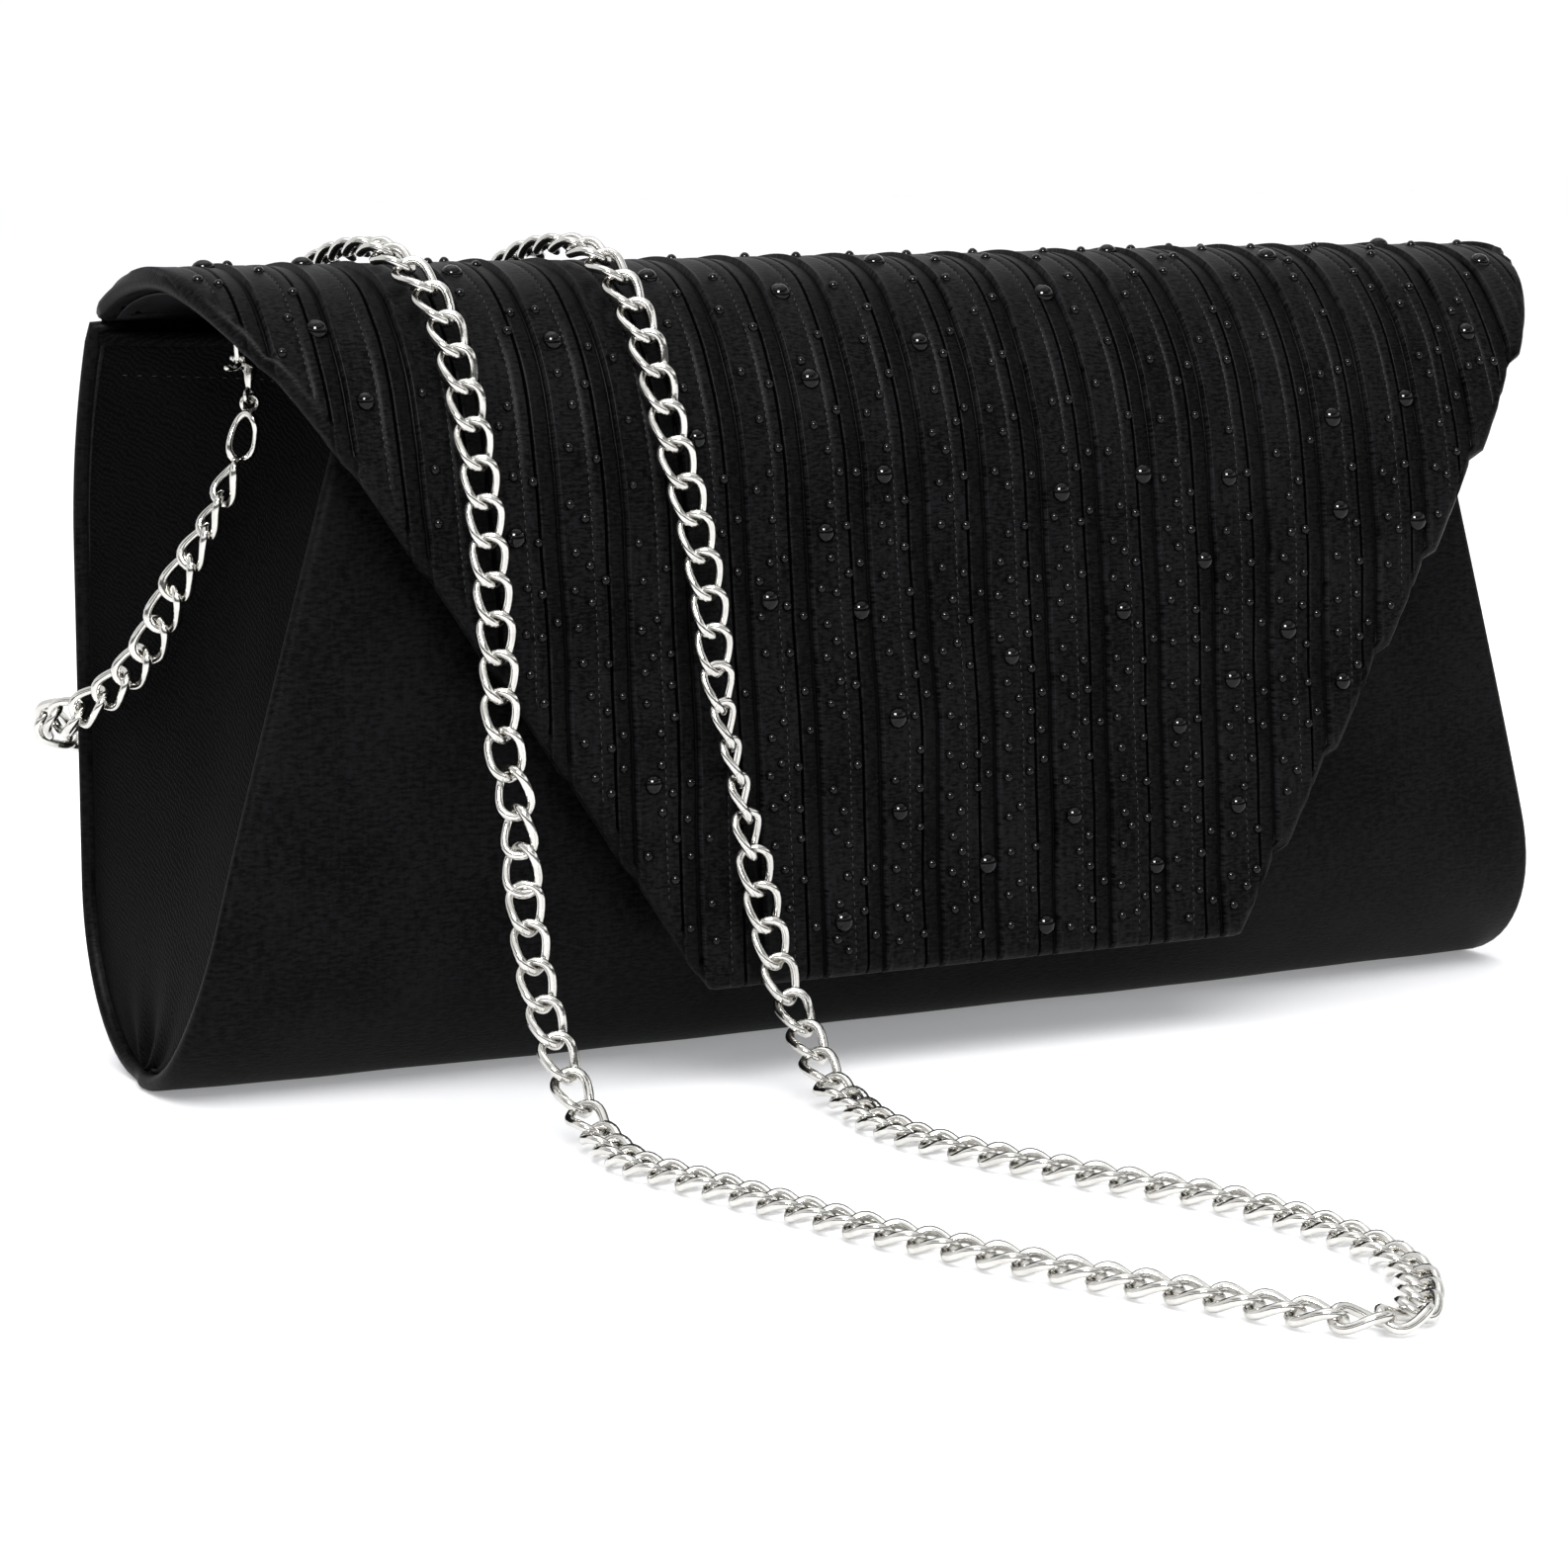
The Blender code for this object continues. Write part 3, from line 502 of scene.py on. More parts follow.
def ribbed(name, low, high, roughness):
    """The gussets' coarser cloth: short slanting ribs."""
    shader = Shader(name)
    rib = shader.bands(shader.cloth(turn=math.radians(-62)), 0.0008, 9.0, 2.0)
    cross = shader.bands(shader.cloth(turn=math.radians(24)), 0.0006, 8.0, 2.0)
    grain = shader.cloud(shader.cloth(), 0.0005, 2, 0.6)
    crossed = shader.math("MULTIPLY", rib, shader.math("ADD", cross, 0.35))
    weave = shader.math("ADD", crossed, shader.math("MULTIPLY", grain, 0.35))
    shader.tone(shader.mix(weave, 0.6, shader.cloud(shader.cloth(), 0.02)), low, high, (0.36, 0.66))
    shader.gloss(grain, roughness - 0.05, roughness + 0.08)
    shader.relief(weave, 0.00008)
    shader.fix(Specular_IOR_Level=0.02, Sheen_Weight=0.006, Sheen_Roughness=0.5)
    return shader.material


def plain(name, size, detail, rough, dark, light):
    """A look with one slight cloudiness, which is returned with it."""
    shader = Shader(name)
    cloud = shader.cloud(shader.place(), size, detail, rough)
    shader.tone(cloud, dark, light)
    return shader, cloud


def silver(name, roughness):
    shader, cloud = plain(name, 0.004, 3, 0.6, (0.54, 0.53, 0.50), (0.68, 0.67, 0.64))
    shader.gloss(cloud, roughness - 0.05, roughness + 0.07)
    shader.relief(shader.cloud(shader.place(), 0.0006), 0.00002)
    shader.fix(Metallic=1.0)
    return shader.material


def jet(name):
    shader, cloud = plain(name, 0.006, 1, 0.5, (0.0005, 0.0005, 0.0008), (0.0025, 0.0025, 0.0032))
    shader.gloss(cloud, 0.03, 0.08)
    shader.fix(Specular_IOR_Level=0.19)
    return shader.material


def thread_look(name):
    shader, fibre = plain(name, 0.0004, 2, 0.6, (0.004, 0.004, 0.005), (0.013, 0.013, 0.015))
    shader.gloss(fibre, 0.45, 0.65)
    shader.relief(fibre, 0.00005)
    shader.fix(Specular_IOR_Level=0.3)
    return shader.material


def greyboard(name):
    shader, fibre = plain(name, 0.0015, 4, 0.7, (0.20, 0.17, 0.13), (0.36, 0.32, 0.26))
    shader.relief(fibre, 0.0001)
    shader.fix(Roughness=0.9)
    return shader.material


DEEP_BLACK = (0.0001, 0.0001, 0.0002)
SATIN_LIGHT = (0.0050, 0.0050, 0.0057)
PLEAT_LIGHT = (0.0070, 0.0070, 0.0078)
LINING_DARK = (0.0050, 0.0050, 0.0056)
LINING_LIGHT = (0.0120, 0.0120, 0.0135)
LOOKS = {
    "satin": satin("satin", DEEP_BLACK, SATIN_LIGHT, 0.46),
    # The pleated satin's colour carries painted highlights and painted shade across its pleats
    "pleated": satin("pleated_satin", DEEP_BLACK, PLEAT_LIGHT, 0.42, tick=0.0005, pleats=True),
    "gusset": ribbed("gusset_cloth", (0.0, 0.0, 0.0001), (0.0022, 0.0022, 0.0025), 0.60),
    "lining": satin("lining_cloth", LINING_DARK, LINING_LIGHT, 0.50, relief=0.00004),
    "chain": silver("chain_silver", 0.13),
    "fitting": silver("fitting_silver", 0.16),
    "jet": jet("jet_stone"),
    "thread": thread_look("black_thread"),
    "board": greyboard("greyboard"),
}


# ---- mesh building


def finish_mesh(name, points, faces, look, uvs=None, smooth_angle=None):
    """An object from points and faces, with cloth coordinates where uvs gives one for each point."""
    mesh = bpy.data.meshes.new(name)
    mesh.from_pydata([tuple(p) for p in points], [], faces)
    mesh.validate()
    if uvs is not None:
        layer = mesh.uv_layers.new(name="cloth")
        corner = np.zeros(len(mesh.loops), np.int32)
        mesh.loops.foreach_get("vertex_index", corner)
        layer.data.foreach_set("uv", np.asarray(uvs, np.float32)[corner].ravel())
    made = add_object(name, mesh)
    mesh.materials.append(LOOKS[look])
    mesh.shade_smooth()
    if smooth_angle is not None:
        mesh.set_sharp_from_angle(angle=math.radians(smooth_angle))
    return made


def thicken(made, thickness):
    """Gives a sheet its thickness, inwards from its outer face, as part of its mesh."""
    solid = made.modifiers.new("thickness", "SOLIDIFY")
    solid.thickness = thickness
    solid.offset = -1
    solid.use_quality_normals = True
    bpy.context.view_layer.update()
    graph = bpy.context.evaluated_depsgraph_get()
    final = bpy.data.meshes.new_from_object(made.evaluated_get(graph))
    final.name = made.data.name
    made.modifiers.clear()
    made.data = final
    return made


def panel(name, cells, place, look, rim, turn_in, thickness=SKIN):
    """Cloth wrapped over a board: an outer face, a rounded edge and a strip turned in behind it.

    cells are faces as lists of flat (p, q) points in metres, counter-clockwise seen from outside the
    object; place(p, q, depth) puts such a point on it, depth below the outer face.
    """
    keys = {}
    flat = []
    faces = []
    for cell in cells:
        face = []
        for point in cell:
            key = (round(point[0] * 1e6), round(point[1] * 1e6))
            if key not in keys:
                keys[key] = len(flat)
                flat.append(point)
            if not face or face[-1] != keys[key]:
                face.append(keys[key])
        if face[0] == face[-1]:
            face.pop()
        if len(face) >= 3 and len(set(face)) == len(face):
            faces.append(face)
    used = set()
    for face in faces:
        for a, b in zip(face, face[1:] + face[:1]):
            used.add((a, b))
    ahead = {a: b for a, b in used if (b, a) not in used}
    start = next(iter(ahead))
    loop = [start]
    while ahead[loop[-1]] != start:
        loop.append(ahead[loop[-1]])
    doubled = sum(
        flat[a][0] * flat[b][1] - flat[b][0] * flat[a][1] for a, b in zip(loop, loop[1:] + loop[:1])
    )
    turn = math.copysign(1.0, doubled)
    inward = {}
    for i, here in enumerate(loop):
        before = np.array(flat[loop[i - 1]])
        after = np.array(flat[loop[(i + 1) % len(loop)]])
        point = np.array(flat[here])
        first = (point - before) / (np.linalg.norm(point - before) + 1e-12)
        second = (after - point) / (np.linalg.norm(after - point) + 1e-12)
        normal = np.array([-(first + second)[1], (first + second)[0]]) * turn
        normal /= np.linalg.norm(normal) + 1e-12
        inward[here] = normal
    points = [place(p, q, 0.0) for p, q in flat]
    uvs = list(flat)
    rings = [loop]
    steps = 6
    offsets = []
    for step in range(1, steps + 1):
        angle = math.pi * step / steps
        offsets.append((-rim * math.sin(angle), rim * (1 - math.cos(angle))))
    for share in (0.3, 1.0):
        offsets.append((turn_in * share, 2 * rim))
    run = 0.0
    last = (0.0, 0.0)
    for shift, depth in offsets:
        run += math.hypot(shift - last[0], depth - last[1])
        last = (shift, depth)
        ring = []
        for here in loop:
            point = np.array(flat[here]) + inward[here] * shift
            ring.append(len(points))
            points.append(place(point[0], point[1], depth))
            spread = np.array(flat[here]) - inward[here] * run
            uvs.append((spread[0], spread[1]))
        rings.append(ring)
    for outer, inner in zip(rings, rings[1:]):
        count = len(loop)
        for i in range(count):
            ahead_i = (i + 1) % count
            faces.append([outer[ahead_i], outer[i], inner[i], inner[ahead_i]])
    made = finish_mesh(name, points, faces, look, uvs, 60)
    return thicken(made, thickness)


def grid_cells(columns, rows, at):
    """Cells of a grid whose corner (i, j) is at(i, j)."""
    cells = []
    for j in range(rows):
        for i in range(columns):
            cells.append([at(i, j), at(i + 1, j), at(i + 1, j + 1), at(i, j + 1)])
    return cells


def tube_faces(start, rings, sides, closed=False):
    """Faces between rings of points that follow each other in a mesh, from its point start on."""
    faces = []
    for i in range(rings if closed else rings - 1):
        here = start + i * sides
        ahead = start + (i + 1) % rings * sides
        for j in range(sides):
            k = (j + 1) % sides
            faces.append([here + j, here + k, ahead + k, ahead + j])
    return faces


def sweep(name, points, sizes, look, sides=12, closed=False, across=(0, 1, 0), ends=True):
    """A bar along points, with half sizes (in the plane, along across) at each, and rounded ends."""
    points = [Vector(p) for p in points]
    across = Vector(across).normalized()
    if ends and not closed:
        head = (points[0] - points[1]).normalized()
        tail = (points[-1] - points[-2]).normalized()
        first, last = sizes[0], sizes[-1]
        points = [points[0] + head * first[0] * 0.8, points[0] + head * first[0] * 0.5] + points
        points += [points[-1] + tail * last[0] * 0.5, points[-1] + tail * last[0] * 0.8]
        sizes = [(first[0] * 0.35, first[1] * 0.35), (first[0] * 0.8, first[1] * 0.8)] + list(sizes)
        sizes += [(last[0] * 0.8, last[1] * 0.8), (last[0] * 0.35, last[1] * 0.35)]
    verts = []
    count = len(points)
    for i, point in enumerate(points):
        before = points[i - 1] if closed or i else point
        after = points[(i + 1) % count] if closed or i < count - 1 else point
        along = (after - before).normalized()
        side = along.cross(across).normalized()
        for j in range(sides):
            angle = 2 * math.pi * j / sides
            rim = side * (sizes[i][0] * math.cos(angle))
            verts.append(point + rim + across * (sizes[i][1] * math.sin(angle)))
    faces = tube_faces(0, count, sides, closed)
    if not closed:
        faces.append(list(reversed(range(sides))))
        faces.append([(count - 1) * sides + j for j in range(sides)])
    bm = bmesh.new()
    made_verts = [bm.verts.new(v) for v in verts]
    for face in faces:
        bm.faces.new([made_verts[i] for i in face])
    bmesh.ops.recalc_face_normals(bm, faces=bm.faces)
    mesh = bpy.data.meshes.new(name)
    bm.to_mesh(mesh)
    bm.free()
    made = add_object(name, mesh)
    mesh.materials.append(LOOKS[look])
    mesh.shade_smooth()
    return made


def join(name, objects):
    """One object from several, in the row's frame."""
    bm = bmesh.new()
    look = objects[0].data.materials[0]
    bpy.context.view_layer.update()
    for part in objects:
        part.data.transform(part.matrix_world)
        bm.from_mesh(part.data)
        bpy.data.objects.remove(part, do_unlink=True)
    mesh = bpy.data.meshes.new(name)
    bm.to_mesh(mesh)
    bm.free()
    mesh.materials.append(look)
    made = add_object(name, mesh)
    return made


# ---- the body's form


def front_half_width(z):
    return FRONT_HALF_FOOT - FRONT_FLARE * (math.hypot(z, FLARE_ROUND) - FLARE_ROUND)


def body_outer(k, u):
    """The body's outer face. k runs down the back (0 to 1), round the back corner (to 2), under
    the flat (to 3), round the front corner (to 4) and up the front (to 5); u runs -1 to 1."""
    middle = (BACK_Y + FRONT_Y) / 2
    half = (BACK_Y - FRONT_Y) / 2
    flat = FLAT_AT_ENDS + (FLAT_AT_MIDDLE - FLAT_AT_ENDS) * (1 - u * u)
    width = HALF_LENGTH
    if k <= 1:
        z = lerp(BACK_TOP, CORNER_HEIGHT, k)
        rise = max(0.0, z - LEAN_START) / (BACK_TOP - LEAN_START)
        y = BACK_Y - BACK_LEAN * rise**2
    elif k <= 2:
        turn = (k - 1) * math.pi / 2
        y = middle + flat + (half - flat) * math.cos(turn)
        z = CORNER_HEIGHT * (1 - math.sin(turn))
    elif k <= 3:
        y = middle + flat * (5 - 2 * k)
        z = 0.0
        width = lerp(HALF_LENGTH, FRONT_HALF_FOOT, k - 2)
    elif k <= 4:
        turn = (k - 3) * math.pi / 2
        y = middle - flat - (half - flat) * math.sin(turn)
        z = CORNER_HEIGHT * (1 - math.cos(turn))
        width = front_half_width(z)
    else:
        y = FRONT_Y
        z = lerp(CORNER_HEIGHT, FRONT_TOP, k - 4)
        width = front_half_width(z)
    if k > 3:
        swell = smooth(z / BULGE_FULL) * (1 - smooth((z - BULGE_FADE) / BULGE_FADE_SPAN))
        y -= FRONT_BULGE * (1 - u * u) * swell
    return Vector((u * width, y, z))


def body_layer(k, u, depth):
    """The point of the body's section that lies depth below its outer face."""
    step = 1e-4
    along = body_outer(k + step, u) - body_outer(k - step, u)
    outward = Vector((0, -along.z, along.y)).normalized()
    return body_outer(k, u) - outward * depth


K_STEPS = 500
K_RUNS = [0.0]
for index in range(K_STEPS):
    a = body_outer(5 * index / K_STEPS, 0.5)
    b = body_outer(5 * (index + 1) / K_STEPS, 0.5)
    K_RUNS.append(K_RUNS[-1] + math.hypot(a.y - b.y, a.z - b.z))
BODY_REACH = K_RUNS[-1]


def k_at(run):
    """The section's k at a run down the back and up the front. It goes on past both ends."""
    position = float(np.interp(run, K_RUNS, range(K_STEPS + 1)))
    if run < 0:
        position = run / (K_RUNS[1] - K_RUNS[0])
    if run > BODY_REACH:
        position = K_STEPS + (run - BODY_REACH) / (K_RUNS[-1] - K_RUNS[-2])
    return position * 5 / K_STEPS


def body_width(k):
    return body_outer(k, 1.0).x


def wobble(p, q, size, amount, seed):
    """A small smooth unevenness over a surface."""
    return amount * noise.noise(Vector((p / size, q / size, seed)))


def body_place(p, q, depth):
    k = k_at(q)
    u = p / body_width(k)
    p += math.copysign(BACK_FULLNESS * (1 - smooth((q - 0.090) / 0.050)), p)
    puff = wobble(p, q, 0.045, 0.0005, 3.1) + wobble(p, q, 0.014, 0.00012, 8.2)
    inside = min(1.0, max(0.0, (body_width(k) - abs(p)) / 0.012)) * (1 if 0.004 < q < BODY_REACH else 0)
    return body_layer(k, u, depth - puff * inside * (1 if depth == 0 else 0))


# ---- the flap's form


def spline_point(points, t):
    """A point at t, from 0 to 1, of the smooth curve through points."""
    count = len(points) - 1
    index = min(int(t * count), count - 1)
    local = t * count - index
    before = points[max(index - 1, 0)]
    start = points[index]
    end = points[index + 1]
    after = points[min(index + 2, count)]
    return 0.5 * (
        2 * start
        + (end - before) * local
        + (2 * before - 5 * start + 4 * end - after) * local**2
        + (3 * start - before - 3 * end + after) * local**3
    )


FLAP_SAMPLES = 400
FLAP_LINE = [
    spline_point([Vector(p) for p in FLAP_PROFILE], i / FLAP_SAMPLES) for i in range(FLAP_SAMPLES + 1)
]
FLAP_STEPS = [0.0]
for first, second in zip(FLAP_LINE, FLAP_LINE[1:]):
    FLAP_STEPS.append(FLAP_STEPS[-1] + (second - first).length)
FLAP_REACH = FLAP_STEPS[-1]


def flap_section(run):
    """The flap's outer face at a run along it from the back edge: the point and the outward way.
    It goes on straight past both ends."""
    held = min(max(run, 0.0), FLAP_REACH)
    position = float(np.interp(held, FLAP_STEPS, range(FLAP_SAMPLES + 1)))
    index = min(int(position), FLAP_SAMPLES - 1)
    here = FLAP_LINE[index].lerp(FLAP_LINE[index + 1], position - index)
    low = max(index - 4, 0)
    high = min(index + 5, FLAP_SAMPLES)
    along = (FLAP_LINE[high] - FLAP_LINE[low]).normalized()
    return here + along * (run - held), Vector((along.y, -along.x))


def flap_half_width(run):
    sloping = TIP_HALF_WIDTH + EDGE_SLOPE * (FLAP_REACH - run)
    return 0.5 * (sloping + HALF_LENGTH - math.hypot(sloping - HALF_LENGTH, EDGE_SOFTNESS))


def flap_skew(run):
    return FLAP_SKEW * smooth((run - 0.030) / 0.030)


def flap_point(x, run, depth):
    point, outward = flap_section(run)
    return Vector((x, point.x - outward.x * depth, point.y - outward.y * depth))


# One pleat across: (place, height), both in millimetres. A wide band whose left edge is a raised
# fold, a row of stitches, a narrow groove, a lower band, and the shadow under the next fold
PLEAT_SHAPE = [
    (0.00, 1.30), (0.12, 1.42), (0.32, 1.40), (0.60, 1.22), (1.20, 1.08), (2.60, 1.02),
    (4.20, 1.00), (4.98, 0.92), (5.22, 0.72), (5.46, 0.92), (6.20, 1.02), (7.10, 1.04),
    (7.30, 0.96), (7.48, 0.15), (7.72, 0.05), (7.88, 0.86), (8.04, 0.98), (8.26, 0.94),
    (8.90, 0.84), (9.60, 0.76), (10.20, 0.70), (10.42, 0.66), (10.60, 0.54), (10.78, 0.04),
    (11.00, 0.00), (11.22, 0.10),
]
PLEAT_PLACES = [place / 1000 for place, height in PLEAT_SHAPE] + [PLEAT]
PLEAT_HEIGHTS = [height / 1000 for place, height in PLEAT_SHAPE] + [0.0013]


def pleat_start(number):
    return PLEAT_PHASE + number * PLEAT


def pleat_drift(x, run):
    """How far the pleats' lines wander sideways."""
    return wobble(x, run, 0.030, 0.0008, 5.7) + wobble(x, run, 0.009, 0.00016, 1.3)


def flap_place(p, q, depth):
    """The flap's pleated face. The pleats flatten out at the back edge and round the turned edge."""
    across = (p - PLEAT_PHASE) % PLEAT
    height = float(np.interp(across, PLEAT_PLACES, PLEAT_HEIGHTS)) - PLEAT_DATUM
    height *= smooth(q / 0.010) * max(0.0, 1 - depth / (2 * FLAP_RIM))
    edge = flap_half_width(q) - abs(p)
    drift = pleat_drift(p, q) * min(1.0, max(0.0, edge / 0.010))
    puff = wobble(p, q, 0.040, 0.0004, 2.2) if depth == 0 else 0.0
    return flap_point(p + drift, q, depth - height - puff)


# ---- the chain


def route_points(routes, step):
    """Even points along the smooth curve through all the routes in turn, with the number of the
    stretch that each belongs to."""
    knots = []
    owner = []
    for number, route in enumerate(routes):
        for point in route:
            knots.append(Vector(point))
            owner.append(number)
    samples = (len(knots) - 1) * KNOT_SAMPLES
    fine = [spline_point(knots, i / samples) for i in range(samples + 1)]
    runs = [0.0]
    for before, after in zip(fine, fine[1:]):
        runs.append(runs[-1] + (after - before).length)
    count = int(runs[-1] / step)
    even = []
    owners = []
    for i in range(count + 1):
        position = float(np.interp(i * step, runs, range(samples + 1)))
        index = min(int(position), samples - 1)
        even.append(fine[index].lerp(fine[index + 1], position - index))
        owners.append(owner[min(round(position / KNOT_SAMPLES), len(owner) - 1)])
    return even, owners


def clear_of_flap(point):
    """The point and the flap's outward way there; the point is moved out where it is too near."""
    here = Vector((point.y, point.z))
    index = min(range(0, FLAP_SAMPLES, 2), key=lambda i: (FLAP_LINE[i] - here).length)
    face, outward = flap_section(FLAP_STEPS[index])
    gap = (here - face).dot(outward)
    short = FLAP_CHAIN_LIFT - gap
    if short > 0 and (here - face).length < 0.012:
        point = point + Vector((0, outward.x, outward.y)) * short
    return point, Vector((0, outward.x, outward.y))


def link_middle(angle):
    """The middle of a link's wire: an oval, twisted so that it lies flat against the next link."""
    width = LINK_HALF_WIDTH * (1 - 0.05 * math.cos(2 * angle) ** 2)
    x = LINK_HALF_LENGTH * math.cos(angle)
    return np.array([x, width * math.sin(angle), -LINK_TWIST * math.sin(2 * angle)])


def link_rings():
    """The unit link: points round its wire, for every place along it, in its own frame."""
    around = 30
    sides = 9
    rings = np.zeros((around, sides, 3))
    for i in range(around):
        angle = 2 * math.pi * i / around
        along = link_middle(angle + 0.01) - link_middle(angle - 0.01)
        along /= np.linalg.norm(along)
        side = np.cross(along, (0, 0, 1))
        side /= np.linalg.norm(side)
        up = np.cross(side, along)
        for j in range(sides):
            turn = 2 * math.pi * j / sides
            rim = side * math.cos(turn) + up * math.sin(turn)
            rings[i, j] = link_middle(angle) + LINK_WIRE * rim
    return rings


UNIT_LINK = link_rings()


# How far the links turn about the chain away from the face they lie on, in degrees: by the metres
# from the nearer clasp in the tails, and by the height above the floor in the two front strands
TAIL_TWIST = [(0.000, 10), (0.006, 10), (0.010, 75), (0.017, 70), (0.026, 40), (0.040, 15), (0.055, 0)]
LEFT_TWIST = [(0.020, 0), (0.036, 0), (0.043, 62), (0.051, 60), (0.062, 0)]
RIGHT_TWIST = [(0.010, 0), (0.036, 0), (0.046, 50), (0.058, 55), (0.072, 0)]


def link_twist(owner, height, from_clasp):
    if owner in (0, 6):
        return math.radians(look_up(from_clasp, TAIL_TWIST))
    if owner == 2:
        return math.radians(look_up(height, LEFT_TWIST))
    if owner == 4:
        return math.radians(look_up(height, RIGHT_TWIST))
    return 0.0


def make_chain():
    """The links in seven stretches. Returns each stretch's mesh points and faces, and the points it follows."""
    left_tail = [(-x, y, z) for x, y, z in TAIL]
    right_tail = list(reversed(TAIL))
    routes = [left_tail, LEFT_BACK, LEFT_FRONT, LOOP, RIGHT_FRONT, RIGHT_BACK, right_tail]
    step = CHAIN_PITCH / 4
    points, owners = route_points(routes, step)
    normals = []
    for i, point in enumerate(points):
        owner = owners[i]
        along = (points[min(i + 2, len(points) - 1)] - points[max(i - 2, 0)]).normalized()
        face = Vector((0, 0, 1))
        if owner in (2, 4):
            points[i], face = clear_of_flap(point)
        if owner in (1, 5):
            face = Vector((0, 1, 0.3))
        if owner in (0, 6):
            side = -1 if owner == 0 else 1
            face = Vector((side * 0.35, -0.9, 0.15)).lerp(
                Vector((side, 0.25, 0.1)), smooth((point.y - 0.014) / 0.018)
            )
        if owner == 3 or (owner in (2, 4) and point.z < 0.03):
            face = Vector((0, -1, 0)).lerp(Vector((0, 0, 1)), smooth((0.030 - point.z) / 0.024))
        normals.append((face - along * face.dot(along)).normalized())
    for _ in range(8):
        before = [normals[0], *normals[:-1]]
        after = [*normals[1:], normals[-1]]
        normals = [(a + b + c).normalized() for a, b, c in zip(before, normals, after)]
    stretches = [[[], [], []] for _ in routes]
    around, sides = UNIT_LINK.shape[:2]
    for i in range(2, len(points) - 2, 4):
        centre = points[i]
        along = (points[i + 2] - points[i - 2]).normalized()
        from_clasp = min(i, len(points) - 1 - i) * step
        turn = Matrix.Rotation(link_twist(owners[i], centre.z, from_clasp), 3, along)
        face = turn @ normals[i]
        face = (face - along * face.dot(along)).normalized()
        side = face.cross(along)
        basis = np.array([along, side, face])
        unit = UNIT_LINK.reshape(-1, 3)
        if i == 2 or i + 6 > len(points) - 2:
            unit = unit * END_LINK_SCALE - (END_LINK_SHIFT if i == 2 else -END_LINK_SHIFT, 0, 0)
        placed = unit @ basis + np.array(centre)
        placed[:, 2] += max(0.0, 0.0001 - placed[:, 2].min())
        verts, faces, path = stretches[owners[i]]
        faces.extend(face[::-1] for face in tube_faces(len(verts), around, sides, True))
        verts.extend(placed.tolist())
        path.extend(points[i - 2 : i + 3])
    return stretches


STRETCHES = ["left_tail", "left_back", "left_front", "loop", "right_front", "right_back", "right_tail"]

for word, (verts, faces, path) in zip(STRETCHES, make_chain()):
    stretch = finish_mesh(f"chain_{word}", verts, faces, "chain")
    length = sum((b - a).length for a, b in zip(path, path[1:]))
    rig.replaces(stretch, f"strap_{word}")
    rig.slot(stretch, "silver_chain")
    if word in ("left_tail", "right_tail"):
        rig.ride(stretch, "body")
    elif word == "left_back":
        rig.blend(stretch, "body", "flap", start=(-0.0965, 0.0372, 0.1180), end=(-0.0940, 0.0250, 0.1330))
    elif word == "right_back":
        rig.blend(stretch, "body", "flap", start=(-0.0590, 0.0372, 0.1180), end=(-0.0586, 0.0250, 0.1330))
    elif word == "loop":
        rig.blend(stretch, "flap", "loop", start=(-0.062, -0.052, 0.004), end=(-0.062, -0.078, 0.004))
    else:
        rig.ride(stretch, "flap")
    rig.cord(
        stretch,
        exit=path[0],
        length=length,
        diameter=0.0068,
        far_end="object",
        stiffness="limp",
        lay="loose",
        path=path,
    )


# ---- strap hardware


def side_frame(side):
    """The clasp's own frame on one side of the bag, upright, with its origin in the ring's wire."""
    outward = Vector((side * OUTWARD.x, OUTWARD.y, 0)).normalized()
    along = Vector((0, 0, 1)).cross(outward)
    place = Vector((side * HOOK_PLACE.x, HOOK_PLACE.y, HOOK_PLACE.z))
    turn = Matrix((outward, along, (0, 0, 1))).transposed().to_4x4()
    return Matrix.Translation(place) @ turn


def wire_loop(name, centre, radius, axis, wire, matrix):
    """A ring of round wire across one axis of the clasp's frame."""
    points = []
    for i in range(40):
        a = radius * math.cos(2 * math.pi * i / 40)
        b = radius * math.sin(2 * math.pi * i / 40)
        flat = {"x": (0, a, b), "y": (a, 0, b), "z": (a, b, 0)}[axis]
        points.append(Vector(centre) + Vector(flat))
    across = {"x": (1, 0, 0), "y": (0, 1, 0), "z": (0, 0, 1)}[axis]
    made = sweep(name, points, [(wire, wire)] * 40, "fitting", 12, True, across)
    made.matrix_world = matrix
    return made


# The claw and its lever in the clasp's upright plane: x, z, half the width and half the depth
CLAW_LINE = [
    (0.00300, -0.00110, 0.00036, 0.00042), (0.00262, 0.00030, 0.00040, 0.00048),
    (0.00170, 0.00130, 0.00044, 0.00055), (0.00040, 0.00170, 0.00048, 0.00060),
    (-0.00090, 0.00140, 0.00050, 0.00062), (-0.00185, 0.00040, 0.00054, 0.00064),
    (-0.00225, -0.00110, 0.00060, 0.00070), (-0.00205, -0.00290, 0.00072, 0.00082),
    (-0.00150, -0.00470, 0.00088, 0.00096), (-0.00085, -0.00640, 0.00104, 0.00108),
    (-0.00040, -0.00800, 0.00104, 0.00106), (-0.00010, -0.00940, 0.00080, 0.00082),
    (0.00000, -0.01040, 0.00056, 0.00056),
]


LEVER_LINE = [
    (0.00268, -0.00135, 0.00040, 0.00048), (0.00285, -0.00260, 0.00052, 0.00055),
    (0.00275, -0.00400, 0.00062, 0.00058), (0.00250, -0.00530, 0.00078, 0.00058),
    (0.00265, -0.00640, 0.00060, 0.00055), (0.00380, -0.00690, 0.00040, 0.00050),
    (0.00480, -0.00690, 0.00036, 0.00048), (0.00560, -0.00665, 0.00058, 0.00062),
    (0.00600, -0.00650, 0.00050, 0.00055),
]
CHEEK_SIZES = [(0.0009, 0.00030), (0.0009, 0.00030), (0.0006, 0.00028)]


